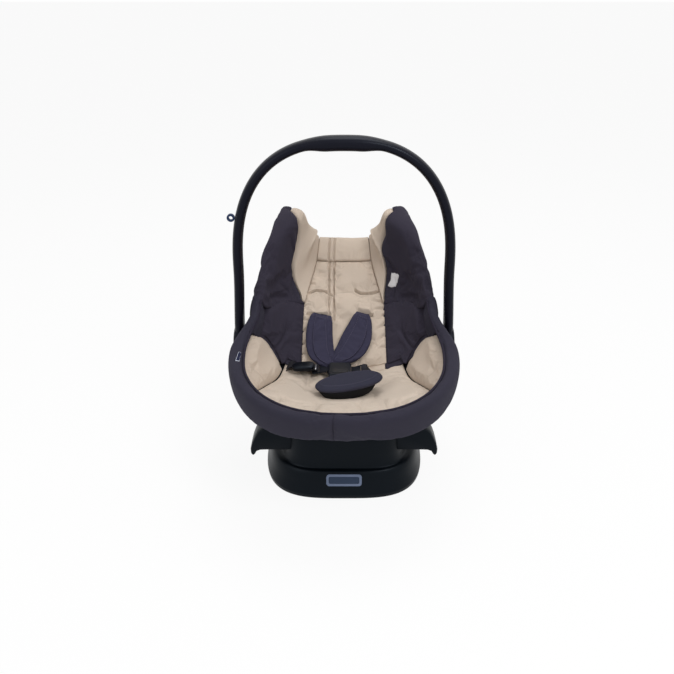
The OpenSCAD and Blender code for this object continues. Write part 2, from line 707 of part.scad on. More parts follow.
// The grip is a sleeve moulded round the bar
module handle_grip() {
    half = grip_length / 2;
    ring = function(x, thin, deep) oval_ring([x, arch_z(x)], [1, arch_slope(x)], thin, deep);
    swell = function(u) pow(max(1 - u * u, 0), 0.5);
    outer = [
        for (i = [-6:6]) let (u = i / 6)
            ring(u * half, mix(bar_thin + 2, grip_thin, swell(u)), mix(bar_deep + 2, bar_deep + 5, swell(u)))
    ];
    inner = [for (i = [6:-1:-6]) let (u = i / 6) ring(u * half, bar_thin + 0.9, bar_deep + 0.9)];
    color("#3f3f4c") sleeve(concat(outer, inner));
}
// Height and slope of the bar's middle at a distance x from the centre line
function arch_z(x) = arch_spring_z + (arch_top_z - arch_spring_z)
    * pow(1 - pow(abs(x) / (bar_x - leg_lean), arch_power), 1 / arch_power);
function arch_slope(x) = (arch_z(x + 0.5) - arch_z(x - 0.5));

// Closed ring of rings, without end caps
module sleeve(rings) {
    m = len(rings[0]);
    n = len(rings);
    polyhedron(flat(rings), [
        for (i = [0:n - 1], j = [0:m - 1])
            let (a = i * m + j, b = i * m + (j + 1) % m, next = ((i + 1) % n) * m, c = next + j, d = next + (j + 1) % m)
            each [[a, c, d], [a, d, b]]
    ]);
}

ring_z = 498;
ring_d = 15;
module handle_ring() {
    x = -arch_x(ring_z) - bar_thin / 2 - ring_d / 2 - 0.3;
    color("#202a3c") translate([x, hub_y, ring_z]) rotate([90, 0, 0]) difference() {
        cylinder(d = ring_d, h = 5, center = true);
        cylinder(d = 7, h = 8, center = true);
    }
}
function arch_x(z) = (bar_x - leg_lean)
    * pow(1 - pow((z - arch_spring_z) / (arch_top_z - arch_spring_z), arch_power), 1 / arch_power);

head_d = 24;
head_t = 3;
module hub_pin() {
    rod_x(pin_d, pin_in, recess_x + 0.2, hub_y, hub_z);
    rod_x(head_d, recess_x + 0.2, recess_x + 0.2 + head_t, hub_y, hub_z);
}
module hub_pin_left() { color("#a6a8ab") mirror([1, 0, 0]) hub_pin(); }
module hub_pin_right() { color("#a6a8ab") hub_pin(); }

spring_room = button_travel + 2.2;
button_in = recess_x + 0.2 + head_t + spring_room;
module lock_button() {
    rod_x(button_d, button_in, hub_out + 1.5, hub_y, hub_z);
}
module lock_button_left() { color("#34333b") mirror([1, 0, 0]) lock_button(); }
module lock_button_right() { color("#34333b") lock_button(); }
module lock_spring() {
    difference() {
        rod_x(18, recess_x + 0.2 + head_t, button_in - button_travel - 0.2, hub_y, hub_z);
        rod_x(14, recess_x, button_in + 1, hub_y, hub_z);
    }
}
module lock_spring_left() { color("#b5b7ba") mirror([1, 0, 0]) lock_spring(); }
module lock_spring_right() { color("#b5b7ba") lock_spring(); }

// ---- latch ----
module latch_shaft() {
    color("#a6a8ab") rod_x(shaft_d, -rocker_x - rocker_w / 2 - 3, rocker_x + rocker_w / 2 + 3, shaft_y, shaft_z);
}
lever_y = 196;
lever_z = 190;
grip_bar_d = 17;
// Side view of a hook: arm down behind the catch bar, nose forward under it, and an arm back to the lever
module hook_profile() {
    r = catch_d / 2 + 1;
    union() {
        translate([shaft_y, shaft_z]) circle(d = shaft_d + 14);
        translate([catch_y + r + 8, catch_z]) circle(r = 7);
        polygon([
            [shaft_y - shaft_d, shaft_z - 6], [catch_y + r, catch_z + 6], [catch_y + r - 0.5, catch_z - 3],
            [catch_y + 2, catch_z - r - 0.5], [catch_y - 4, catch_z - r - 1], [catch_y - 6, catch_z - r - 5],
            [catch_y - 2, catch_z - r - 8], [catch_y + r + 6, catch_z - r - 8], [catch_y + r + 14, catch_z - 5],
            [catch_y + r + 16, catch_z + 4], [shaft_y + shaft_d, shaft_z - 5]
        ]);
        polygon([
            [shaft_y + 4, shaft_z - 9], [lever_y, lever_z - 7], [lever_y + 4, lever_z], [lever_y - 4, lever_z + 7],
            [shaft_y - 3, shaft_z + 10]
        ]);
    }
}
module latch_hooks() {
    color("#77797d") both_sides() difference() {
        translate([hook_x - hook_w / 2, 0, 0]) rotate([90, 0, 90]) linear_extrude(hook_w) hook_profile();
        rod_x(shaft_d + 0.04, 0, 100, shaft_y, shaft_z);
        rod_x(grip_bar_d + 0.1, 0, 100, lever_y, lever_z);
    }
}
module latch_lever() {
    color("#202028") union() {
        rod_x(grip_bar_d, -hook_x - hook_w / 2 - 5, hook_x + hook_w / 2 + 5, lever_y, lever_z);
        both_sides() rod_x(grip_bar_d + 6, hook_x + hook_w / 2 + 0.3, hook_x + hook_w / 2 + 5, lever_y, lever_z);
    }
}
module latch_springs() {
    color("#b5b7ba") both_sides() difference() {
        rod_x(shaft_d + 5, hook_x + hook_w / 2 + 1, rocker_x - rocker_w / 2 - 1, shaft_y, shaft_z);
        rod_x(shaft_d + 1, hook_x, rocker_x, shaft_y, shaft_z);
    }
}

// ---- harness ----
// Strap of rectangular section along a path, its width along a fixed direction
module strap(path, side, w, t) {
    skin([
        for (i = [0:len(path) - 1])
            let (along = unit(path[min(i + 1, len(path) - 1)] - path[max(i - 1, 0)]))
            let (across = unit(side - (side * along) * along), up = cross(along, across))
            [path[i] - across * w / 2 - up * t / 2, path[i] + across * w / 2 - up * t / 2,
                path[i] + across * w / 2 + up * t / 2, path[i] - across * w / 2 + up * t / 2]
    ]);
}
strap_o = pad_top + 3;
back_o = -shell_wall - 3.2;
module shoulder_strap(lean) {
    keys = [
        [7.2, 20 + lean], [7.6, 31 + lean * 0.7], [8.1, 47 + lean * 0.3],
        [8.6, 54], [9.0, 51], [SHOULDER_SLOT - 0.03, shoulder_x]
    ];
    front = [for (i = [0:15]) let (k = spline_at(keys, i / 3)) on_pad(k[0], k[1], strap_o)];
    rear = [for (i = [0:6]) on_pad(mix(SHOULDER_SLOT + 0.02, 8.55, i / 6), mix(shoulder_x, 30, i / 6), back_o)];
    mid = [on_pad(SHOULDER_SLOT + 0.03, shoulder_x, pad_top - 6), on_pad(SHOULDER_SLOT + 0.04, shoulder_x, 2)];
    end = [[keys[0][1], buckle_y + buckle_l / 2 + 4, tongue_z + 5]];
    strap(concat(end, front, mid, rear), [1, 0, 0], web_w, web_t);
}
module shoulder_strap_left() { color("#28272f") mirror([1, 0, 0]) shoulder_strap(-buckle_x); }
module shoulder_strap_right() { color("#28272f") shoulder_strap(buckle_x); }

// Crescent pad wrapped over the shoulder strap
module shoulder_pad(lean) {
    keys = [
        [7.2, 19 + lean, 15], [7.5, 29 + lean * 0.8, 24], [7.95, 45 + lean * 0.4, 29],
        [8.45, 57, 28], [8.9, 55, 26], [9.13, 51, 19]
    ];
    low = strap_o + web_t / 2 + 2.2;
    row = function(u, v, o) let (k = spline_at(keys, u * 5)) on_pad(k[0], k[1] + k[2] * (2 * v - 1), o);
    slab(
        grid(14, 6, function(u, v) row(u, v, low + mix(4, 12, crown(u, v, 4)))),
        grid(14, 6, function(u, v) row(u, v, low))
    );
}
module shoulder_pad_left() { color("#3e3c51") mirror([1, 0, 0]) shoulder_pad(-buckle_x); }
module shoulder_pad_right() { color("#3e3c51") shoulder_pad(buckle_x); }

buckle_y = -30;
buckle_z = floor_z + seat_pad_thick + 5;
tongue_z = buckle_z + buckle_h / 2;
// Lap strap: folded over the tongue's bar, across the seat and down through its slot
lap_w = web_w - 10;
module lap_strap(lean) {
    bar = buckle_w / 2 + 20 + lean;
    y = buckle_y + buckle_l / 2 - 12.4;
    fold = [for (k = [[0, -3], [0, 1.5], [3, 3.4], [13, 3.4]]) [bar + k[0], y, tongue_z + k[1]]];
    top = [for (i = [1:8]) let (x = mix(bar + 13, lap_x - 3, i / 8), p = on_pad(LAP, x, seat_pad_thick + 3.5))
        [p[0], mix(y, p[1], i / 8), mix(max(tongue_z + 3.4, p[2]), p[2], i / 8)]];
    down = [
        on_pad(LAP, lap_x, seat_pad_thick - 4), on_pad(LAP, lap_x + 0.2, 2),
        on_pad(LAP, lap_x + 0.5, -shell_wall - 7)
    ];
    strap(concat(fold, top, down), [0, 1, 0], lap_w, web_t);
}
module lap_strap_left() { color("#28272f") mirror([1, 0, 0]) lap_strap(-buckle_x); }
module lap_strap_right() { color("#28272f") lap_strap(buckle_x); }

module lap_anchors() {
    color("#9a9ca0") both_sides() {
        p = on_pad(LAP, lap_x + 0.5, -shell_wall - 7);
        n = inward(LAP, t_at(LAP, lap_x));
        translate(p - 1.7 * n) rotate([atan2(-n[1], n[2]), asin(n[0]), 0]) cube([18, web_w + 10, 2.4], center = true);
    }
}
module harness_yoke() {
    half = 34;
    face = back_o - web_t / 2 - 0.5;
    color("#9a9ca0") slab(
        grid(3, 8, function(u, v) on_pad(mix(8.4, 8.7, u), mix(-half, half, v), face)),
        grid(3, 8, function(u, v) on_pad(mix(8.4, 8.7, u), mix(-half, half, v), face - 2.2))
    );
}

slot_h = 3.2;
module buckle_body() {
    r = 7;
    color("#1c1b22") translate([buckle_x, buckle_y, buckle_z]) difference() {
        hull() for (x = [-1, 1], y = [-1, 1]) translate([x * (buckle_w / 2 - r), y * (buckle_l / 2 - r), 0]) {
            cylinder(r = r, h = buckle_h - 3, $fn = 32);
            cylinder(r = r - 2.5, h = buckle_h, $fn = 32);
        }
        translate([-buckle_w, 0, buckle_h / 2 - slot_h / 2]) cube([2 * buckle_w, buckle_l / 2 - 5, slot_h]);
        translate([0, -buckle_l * 0.2, buckle_h - 8]) button_block(0.3, 12);
        translate([0, -buckle_l * 0.2, buckle_h - 13]) cylinder(d = 9, h = 10);
    }
}
module button_block(gap, h) {
    hull() for (x = [-1, 1]) translate([x * 8, 0, 0]) cylinder(r = 8 + gap, h = h, $fn = 32);
}
module buckle_button() {
    color("#5a2226") translate([buckle_x, buckle_y - buckle_l * 0.2, buckle_z + buckle_h - 8 + buckle_travel + 0.5])
        button_block(0, 8 - buckle_travel);
}
module buckle_spring() {
    color("#b5b7ba") translate([buckle_x, buckle_y - buckle_l * 0.2, buckle_z + buckle_h - 13]) difference() {
        cylinder(d = 8, h = 5 + buckle_travel + 0.5);
        translate([0, 0, -1]) cylinder(d = 6, h = 15);
    }
}
module tongue() {
    wide = 18;
    thick = slot_h - 0.8;
    translate([0, buckle_y + buckle_l / 2 - 5.4 - wide, tongue_z - thick / 2]) linear_extrude(thick) difference() {
        union() {
            translate([0.6, 0]) square([buckle_w / 2 + 4, wide]);
            hull() {
                translate([buckle_w / 2 + 4, 2]) circle(r = 2, $fn = 32);
                translate([buckle_w / 2 + 4, wide - 2]) circle(r = 2, $fn = 32);
                translate([buckle_w / 2 + 28, -4]) circle(r = 4, $fn = 32);
                translate([buckle_w / 2 + 28, wide + 8]) circle(r = 4, $fn = 32);
            }
        }
        translate([buckle_w / 2 + 18, -3]) square([4, wide + 10]);
    }
}
module tongue_left() { color("#2b2c31") translate([buckle_x, 0, 0]) mirror([1, 0, 0]) tongue(); }
module tongue_right() { color("#2b2c31") translate([buckle_x, 0, 0]) tongue(); }

crotch_pad_y = -112;
crotch_pad_z = buckle_z + 25;
crotch_gap = 6;
module crotch_strap() {
    slot = on_pad(CROTCH_SLOT, 0, 0);
    rise = crotch_pad_z - crotch_gap - slot[2];
    color("#28272f") strap(
        [slot + [0, 0, -shell_wall - 8], slot, slot + [0, 0, seat_pad_thick - 4], slot + [0, 1, rise - 3],
            slot + [0, 6, rise], [buckle_x, buckle_y - buckle_l / 2 - 10, mix(tongue_z, slot[2] + rise, 0.4)],
            [buckle_x, buckle_y - buckle_l / 2 - 0.7, tongue_z]],
        [1, 0, 0], web_w - 4, web_t
    );
    color("#9a9ca0") translate(slot + [0, 0, -shell_wall - 9.6]) cube([web_w + 10, 16, 3], center = true);
}
module crotch_pad() {
    half_w = 62;
    half_l = 45;
    levels = [[0.55, 0], [0.85, 2], [1, 6], [0.97, 10], [0.8, 14], [0.5, 16]];
    color("#2e2c3a") translate([4, crotch_pad_y, crotch_pad_z]) rotate([-8, 0, 0])
        skin([for (k = levels) oval(half_w * k[0], half_l * k[0], 2.3, 0, k[1], 24)]);
}

base_skirt();
base_cradle();
base_feet();
base_screws();
badge_frame();
badge_plate();
belt_guide_left();
belt_guide_right();
catch_brackets();
catch_bar();
carrier_shell();
rocker_left();
rocker_right();
foam_liner();
seat_pad();
side_lobe_left();
side_lobe_right();
back_pad();
side_panel_left();
side_panel_right();
wing_lining_left();
wing_lining_right();
wing_cover_left();
wing_cover_right();
head_cover();
rim_cover();
hub_pin_left();
hub_pin_right();
shoulder_strap_left();
shoulder_strap_right();
shoulder_pad_left();
shoulder_pad_right();
lap_strap_left();
lap_strap_right();
lap_anchors();
harness_yoke();
tongue_left();
tongue_right();
buckle_body();
buckle_button();
buckle_spring();
crotch_strap();
crotch_pad();
handle_bar();
handle_grip();
handle_ring();
lock_button_left();
lock_button_right();
lock_spring_left();
lock_spring_right();
latch_shaft();
latch_hooks();
latch_lever();
latch_springs();
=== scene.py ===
import json
import math
import bpy
import numpy as np
from mathutils import Euler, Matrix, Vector, noise

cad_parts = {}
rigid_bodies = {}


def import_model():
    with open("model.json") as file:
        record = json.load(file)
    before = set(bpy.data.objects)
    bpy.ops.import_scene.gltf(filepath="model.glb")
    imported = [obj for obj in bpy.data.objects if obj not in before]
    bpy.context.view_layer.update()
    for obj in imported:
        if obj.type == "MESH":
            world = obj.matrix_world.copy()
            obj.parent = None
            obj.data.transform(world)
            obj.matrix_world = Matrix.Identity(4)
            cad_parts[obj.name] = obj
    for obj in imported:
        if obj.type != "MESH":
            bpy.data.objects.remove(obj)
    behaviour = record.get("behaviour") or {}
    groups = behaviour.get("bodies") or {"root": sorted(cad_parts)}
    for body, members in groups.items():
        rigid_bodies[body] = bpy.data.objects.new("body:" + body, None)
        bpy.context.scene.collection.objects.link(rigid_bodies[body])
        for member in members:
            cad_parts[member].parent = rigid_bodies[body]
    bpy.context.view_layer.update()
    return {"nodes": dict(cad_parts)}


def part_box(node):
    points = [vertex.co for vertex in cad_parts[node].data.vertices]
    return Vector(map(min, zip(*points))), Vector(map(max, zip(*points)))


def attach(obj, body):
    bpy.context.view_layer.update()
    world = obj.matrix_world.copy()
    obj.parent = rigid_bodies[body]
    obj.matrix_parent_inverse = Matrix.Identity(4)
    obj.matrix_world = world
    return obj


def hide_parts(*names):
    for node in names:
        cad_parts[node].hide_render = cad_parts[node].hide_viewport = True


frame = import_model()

MM = 0.001

scene = bpy.context.scene


def add_object(name, data):
    o = bpy.data.objects.new(name, data)
    scene.collection.objects.link(o)
    return o


# ---- camera ----
cam_data = bpy.data.cameras.new("camera")
cam_data.lens = 38.35
cam_data.shift_x, cam_data.shift_y = -0.0104, -0.0282
cam_data.clip_start = 0.05
camera = add_object("camera", cam_data)
camera.location = (0.0, -1.2688, 0.8917)
camera.rotation_euler = (math.radians(65), 0, 0)
scene.camera = camera


# ---- the bucket's surface, the same formulas as the source, in millimetres ----
# A place on it is a station (0 at the front of the foot end, 8 at the shoulders, 11 at the head), t across it from -1
# at the left rim to 1 at the right one, and an offset inwards from the shell.
def mix(a, b, t):
    return a + (b - a) * t


def ease(v):
    u = np.clip(v, 0, 1)
    return u * u * (3 - 2 * u)


# the same named values as in the source
HIP_HALF, HUB_HALF, LIP_REACH, LIP_Z, HIP_Y = 192, 176, 284, 250, -90
WING_HALF, WING_Y, WING_Z, HEAD_Y, HEAD_Z = 118, 200, 444, 252, 352
FLOOR_Z, FLOOR_BACK, FLOOR_RISE = 162, -20, 75
HUB_Y, HUB_Z = 15, 240
SHOULDER, HEAD, LAP, SHOULDER_SLOT = 8, 11, 6.7, 9.25
SEAT_POWER, HEAD_POWER = 2.4, 3.2
SHELL, GAP = 4, 0.9
PAD_UNDER, PAD_TOP, SEAT_TOP = 9.3, 21.3, 19
WEB_W, WEB_T = 35, 2
BUCKLE_X, BUCKLE_Y, BUCKLE_Z, BUCKLE_W, BUCKLE_L, BUCKLE_H = -8, -30, 186, 46, 52, 19
TONGUE_Z = BUCKLE_Z + BUCKLE_H / 2
SHOULDER_X, LAP_X = 49, 118
# offset of the shoulder straps above the shell
STRAP_O = PAD_TOP + 3


def floor_at(y):
    """Height of the seat's floor."""
    return FLOOR_Z + FLOOR_RISE * (max(FLOOR_BACK - y, 0) / (LIP_REACH + FLOOR_BACK - 6)) ** 2


def front_station(a):
    """Half width, y and z of the rim, y and z of the floor, at an angle round the foot end."""
    r = math.radians(a)
    y = HIP_Y - (LIP_REACH + HIP_Y) * math.cos(r) ** 0.9
    fy = mix(y + 6, y + 2, a / 90)
    return [HIP_HALF * math.sin(r) ** 0.9, y, mix(LIP_Z, LIP_Z + 20, (a / 90) ** 2), fy, floor_at(fy)]


SHOULDER_STATION = np.array([HUB_HALF - 5, HUB_Y + 23, LIP_Z + 72, HUB_Y + 35, FLOOR_Z + 28.0])
WING_STATION = np.array([WING_HALF, WING_Y, WING_Z, HEAD_Y, HEAD_Z])
STATIONS = np.array([front_station(a) for a in (10, 24, 38, 54, 72, 89.9999)] + [
    [HIP_HALF - 6, HUB_Y - 60, LIP_Z + 33, HUB_Y - 55, FLOOR_Z + 1],
    [HUB_HALF, HUB_Y - 15, LIP_Z + 48, HUB_Y - 7, FLOOR_Z + 4],
    SHOULDER_STATION,
    mix(SHOULDER_STATION, WING_STATION, 0.32) + [4, 0, 12, 0, 0],
    mix(SHOULDER_STATION, WING_STATION, 0.64) + [4, 0, 19, 0, 0],
    WING_STATION])


def spline_at(keys, u):
    """Smooth curve through the keys; u counts keys."""
    keys = np.asarray(keys, float)
    u = np.asarray(u, float)
    n = len(keys) - 1
    i = np.clip(np.floor(u).astype(int), 0, n - 1)
    w = (u - i)[..., None]
    b, c = keys[i], keys[i + 1]
    a = np.where((i > 0)[..., None], keys[np.maximum(i - 1, 0)], 2 * b - c)
    d = np.where((i < n - 1)[..., None], keys[np.minimum(i + 2, n)], 2 * c - b)
    return b + w * (c - a) / 2 + w ** 2 * (2 * a - 5 * b + 4 * c - d) / 2 + w ** 3 * (3 * b - a - 3 * c + d) / 2


def unit(v):
    return v / np.linalg.norm(v, axis=-1, keepdims=True)


def power_at(s):
    return mix(SEAT_POWER, HEAD_POWER, ease((s - SHOULDER) / (HEAD - SHOULDER)))


def bucket(s, t):
    """Points on the shell's inner face."""
    s, t = np.broadcast_arrays(np.asarray(s, float), np.asarray(t, float))
    k = spline_at(STATIONS, s)
    e = 2 / power_at(s)
    a = np.radians(90 * np.minimum(abs(t), 1))
    c = np.maximum(np.cos(a), 0) ** e
    x = np.sign(t) * k[..., 0] * np.sin(a) ** e
    return np.stack([x, mix(k[..., 1], k[..., 3], c), mix(k[..., 2], k[..., 4], c)], -1)


def inward(s, t):
    s, t = np.broadcast_arrays(np.asarray(s, float), np.asarray(t, float))
    return unit(np.cross(bucket(s, np.minimum(t + 0.004, 1)) - bucket(s, np.maximum(t - 0.004, -1)),
                         bucket(s + 0.04, t) - bucket(s - 0.04, t)))


def surf(s, t, o):
    return bucket(s, t) + np.asarray(o, float)[..., None] * inward(s, t)


def t_at(s, x):
    """The t of a place x millimetres from the middle."""
    s = np.asarray(s, float)
    r = np.clip(np.abs(x) / spline_at(STATIONS, s)[..., 0], 0, 1)
    return np.sign(x) * np.degrees(np.arcsin(r ** (power_at(s) / 2))) / 90


def on_pad(s, x, o):
    return surf(s, t_at(s, x), o)


def rim_point(s, out, up):
    """Points by the right rim, out from the shell and up along it."""
    s, out, up = np.broadcast_arrays(*[np.asarray(v, float) for v in (s, out, up)])
    rise = unit(bucket(s, np.ones_like(s)) - bucket(s, np.full_like(s, 0.97)))
    return bucket(s, np.ones_like(s)) - out[..., None] * inward(s, np.ones_like(s)) + up[..., None] * rise


def crown(u, v, p=6):
    """1 in the middle of a piece, 0 on its edges; a higher p keeps it full further out."""
    return (1 - np.abs(2 * u - 1) ** p) * (1 - np.abs(2 * v - 1) ** p)


# the t where seat and lobes meet, and the stations where the lobes end and the side panels begin
def seat_edge(s):
    return np.minimum(0.96, 0.44 + 0.52 * np.clip((6.4 - s) / 3.5, 0, 1) ** 2)


def lobe_back(t):
    return 6.3 + 0.95 * np.maximum(np.sin(np.pi * (t - 0.43) / 0.54), 0) ** 0.8


def panel_front(t):
    return mix(7.22, lobe_back(t) + 0.1, ease((t - 0.445) / 0.03))


def back_half(s):
    """Half width of the back pad."""
    return mix(88, 57, ease((s - 9) / (HEAD - 9)))


# ---- materials ----
def lin(c):
    """Linear value of a colour given as 0 to 255."""
    return tuple((v / 12.92 if v <= 0.04045 else ((v + 0.055) / 1.055) ** 2.4) for v in [k / 255 for k in c])


def shade(c, k):
    return tuple(min(1, v * k) for v in c)


def set_inputs(n, values):
    for key, value in values.items():
        n.inputs[key.replace("_", " ")].default_value = value


def new_material(name, **values):
    """Material with values set on its shader's own sockets."""
    m = bpy.data.materials.new(name)
    m.use_nodes = True
    b = m.node_tree.nodes["Principled BSDF"]
    set_inputs(b, values)
    return m, m.node_tree, b


def node(nt, kind, **values):
    n = nt.nodes.new(kind)
    set_inputs(n, values)
    return n


def math_node(nt, operation, *values):
    n = nt.nodes.new("ShaderNodeMath")
    n.operation = operation
    for socket, v in zip(n.inputs, values):
        if isinstance(v, (int, float)):
            socket.default_value = v
        else:
            nt.links.new(v, socket)
    return n.outputs[0]


def mix_colour(nt, fac, a, b):
    n = nt.nodes.new("ShaderNodeMix")
    n.data_type = "RGBA"
    for socket, v in ((n.inputs[0], fac), (n.inputs[6], a), (n.inputs[7], b)):
        if isinstance(v, tuple):
            socket.default_value = (*v, 1)
        else:
            nt.links.new(v, socket)
    return n.outputs[2]


def noise_node(nt, scale, detail, roughness=0.5):
    n = node(nt, "ShaderNodeTexNoise", Scale=scale, Detail=detail, Roughness=roughness)
    nt.links.new(node(nt, "ShaderNodeTexCoord").outputs["Object"], n.inputs["Vector"])
    return n.outputs["Fac"]


# Scale of a wave texture that gives one band for each millimetre of cloth
BAND_PER_MM = 314.0


def wave_node(nt, axis, pitch, distortion=0.0):
    """Bands laid out in the cloth's own lengths, one for each pitch in millimetres."""
    n = node(nt, "ShaderNodeTexWave", Scale=BAND_PER_MM / pitch, Distortion=distortion, Detail=1.0)
    n.bands_direction = axis
    uv = node(nt, "ShaderNodeUVMap")
    uv.uv_map = "cloth"
    nt.links.new(uv.outputs[0], n.inputs["Vector"])
    return n.outputs["Fac"]


def pointed(nt, sign, flat, gain, most):
    """How far a place is an edge (sign 1) or a crease (sign -1), from 0 to the most."""
    point = node(nt, "ShaderNodeNewGeometry").outputs["Pointiness"]
    pair = (point, flat) if sign > 0 else (flat, point)
    v = math_node(nt, "MULTIPLY", math_node(nt, "SUBTRACT", *pair), gain)
    return math_node(nt, "MINIMUM", math_node(nt, "MAXIMUM", v, 0.0), most)


def add_bump(nt, b, height, strength, distance=0.0006):
    bump = node(nt, "ShaderNodeBump", Strength=strength, Distance=distance)
    nt.links.new(height, bump.inputs["Height"])
    nt.links.new(bump.outputs[0], b.inputs["Normal"])


def fabric(name, colour, pitch=1.3, sheen=0.25, spread=0.12):
    """Woven cover: a fine weave in the piece's own lengths, soft mottling, and painted shade that darkens the creases.
    """
    base = lin(colour)
    m, nt, b = new_material(name, Roughness=0.92, Sheen_Weight=sheen, Sheen_Roughness=0.55,
                            Sheen_Tint=(*shade(base, 1.6), 1), Specular_IOR_Level=0.25)
    cloud, fuzz = noise_node(nt, 11.0, 4.0, 0.6), noise_node(nt, 900.0, 2.0)
    weave = math_node(nt, "MULTIPLY", wave_node(nt, "X", pitch, 0.6), wave_node(nt, "Y", pitch, 0.6))
    mottled = mix_colour(nt, cloud, shade(base, 1 - spread), shade(base, 1 + spread))
    woven = mix_colour(nt, math_node(nt, "MULTIPLY_ADD", weave, 0.5, 0.5), shade(base, 0.72), mottled)
    # painted shade: where the surface folds inwards the colour is darkened towards 0.42 of the cover's, standing in for
    # shade in creases and seams
    painted_crease_shade = mix_colour(nt, pointed(nt, -1, 0.495, 9.0, 0.6), woven, shade(base, 0.42))
    nt.links.new(painted_crease_shade, b.inputs["Base Color"])
    add_bump(nt, b, math_node(nt, "ADD", weave, math_node(nt, "MULTIPLY", fuzz, 0.8)), 0.35)
    return m


def plastic(name, colour, rough=0.45, grain=0.25, scale=1400.0, coat=0.0, worn=0.25, gloss=0.2):
    """Moulded plastic: a fine texture, slight colour drift, scuffs that dull it unevenly."""
    base = lin(colour)
    m, nt, b = new_material(name, Coat_Weight=coat, Coat_Roughness=0.2, Specular_IOR_Level=gloss,
                            Specular_Tint=(0.75, 0.86, 1.0, 1))
    fine, cloud = noise_node(nt, scale, 2.0), noise_node(nt, 14.0, 5.0, 0.65)
    body = mix_colour(nt, cloud, shade(base, 0.9), shade(base, 1.1))
    nt.links.new(mix_colour(nt, pointed(nt, 1, 0.52, 6.0, worn), body, shade(base, 2.2)), b.inputs["Base Color"])
    nt.links.new(math_node(nt, "MULTIPLY_ADD", cloud, 0.16, rough - 0.08), b.inputs["Roughness"])
    add_bump(nt, b, fine, grain, 0.0003)
    return m


def metal(name, colour, rough=0.22):
    """Brushed steel."""
    base = lin(colour)
    m, nt, b = new_material(name, Metallic=1.0)
    stretch = node(nt, "ShaderNodeMapping", Scale=(60.0, 900.0, 900.0))
    brushed = node(nt, "ShaderNodeTexNoise", Scale=1.0, Detail=3.0)
    nt.links.new(node(nt, "ShaderNodeTexCoord").outputs["Object"], stretch.inputs["Vector"])
    nt.links.new(stretch.outputs[0], brushed.inputs["Vector"])
    streak = brushed.outputs["Fac"]
    nt.links.new(mix_colour(nt, streak, shade(base, 0.8), shade(base, 1.15)), b.inputs["Base Color"])
    nt.links.new(math_node(nt, "MULTIPLY_ADD", streak, 0.2, rough), b.inputs["Roughness"])
    return m


def webbing(name, colour):
    """Belt webbing: ribs along its length and a fine cross weave."""
    base = lin(colour)
    m, nt, b = new_material(name, Roughness=0.75, Sheen_Weight=0.04, Specular_IOR_Level=0.15)
    height = math_node(nt, "MULTIPLY_ADD", wave_node(nt, "Y", 1.1, 1.0), 0.5, wave_node(nt, "X", 3.5))
    nt.links.new(mix_colour(nt, height, shade(base, 0.6), shade(base, 1.15)), b.inputs["Base Color"])
    add_bump(nt, b, height, 0.5)
    return m


M = dict(
    beige=fabric("beige_cover", (206, 190, 174)),
    beige_seat=fabric("beige_seat", (212, 197, 182)),
    beige_lobe=fabric("beige_lobe", (208, 192, 176)),
    dark=fabric("dark_cover", (50, 46, 59), spread=0.16, sheen=0.12),
    rim=fabric("dark_rim", (46, 44, 57), spread=0.12, sheen=0.12),
    pad=fabric("pad_cover", (54, 52, 72), pitch=1.0, sheen=0.12),
    pad_top=fabric("pad_cover_dark", (48, 48, 63), pitch=1.0, sheen=0.1),
    # the crotch cushion's underside: the same cover as its top, painted near-black as shade for the half turned away
    # from the light
    pad_underside_shade=fabric("pad_under", (7, 8, 11), pitch=1.0, sheen=0.0),
    piping=fabric("piping_cover", (40, 36, 50), pitch=0.9, sheen=0.1),
    thread_dark=fabric("thread_dark", (96, 92, 112), pitch=0.6, sheen=0.0),
    web=webbing("belt_web", (34, 33, 40)),
    handle=plastic("handle_shell", (15, 14, 23), rough=0.36, grain=0.1, worn=0.05, gloss=0.13),
    base=plastic("base_shell", (5, 9, 14), rough=0.38, grain=0.15, worn=0.06, gloss=0.12),
    shell=plastic("carrier_plastic", (12, 12, 16), rough=0.5, grain=0.3, gloss=0.15),
    rubber=plastic("foot_rubber_black", (22, 22, 24), rough=0.85, grain=0.5, worn=0.05),
    latch=plastic("latch_plastic", (25, 31, 37), rough=0.45, grain=0.2),
    buckle=plastic("buckle_black", (10, 12, 18), rough=0.3, grain=0.08, gloss=0.2),
    button=plastic("button_black", (12, 12, 16), rough=0.28, grain=0.08, gloss=0.25),
    ring=plastic("ring_blue", (36, 48, 74), rough=0.4, grain=0.15),
    foam=plastic("foam_beads", (222, 222, 216), rough=0.9, grain=0.6, scale=260.0, worn=0.05),
    badge=plastic("badge_plate_grey", (40, 50, 68), rough=0.38, grain=0.12),
    badge_rim=plastic("badge_rim_silver", (92, 102, 124), rough=0.3, grain=0.08, coat=0.2),
    steel=metal("steel_bright", (176, 178, 182)),
    tag=fabric("tag_white", (232, 230, 232), pitch=0.5, sheen=0.0, spread=0.03),
    tag_blue=fabric("tag_navy", (30, 34, 62), pitch=0.5, sheen=0.0, spread=0.05),
    tag_edge=fabric("tag_border", (196, 200, 214), pitch=0.5, sheen=0.0, spread=0.04),
)


# ---- mesh helpers ----
def hand(side):
    """+X, side 1, is the right of the picture."""
    return "right" if side > 0 else "left"


def make_object(name, verts, faces, material, uv=None, body="carrier", slot=None, smooth=True):
    mesh = bpy.data.meshes.new(name)
    mesh.from_pydata([tuple(v) for v in np.asarray(verts) * MM], [], faces)
    if uv is not None:
        layer = mesh.uv_layers.new(name="cloth")
        flat = np.asarray(uv)[[i for f in faces for i in f]] * MM
        layer.data.foreach_set("uv", flat.ravel())
    mesh.polygons.foreach_set("use_smooth", [smooth] * len(mesh.polygons))
    mesh.materials.append(material)
    o = add_object(name, mesh)
    o["body"] = body
    if slot:
        o["slot"] = slot
    return o


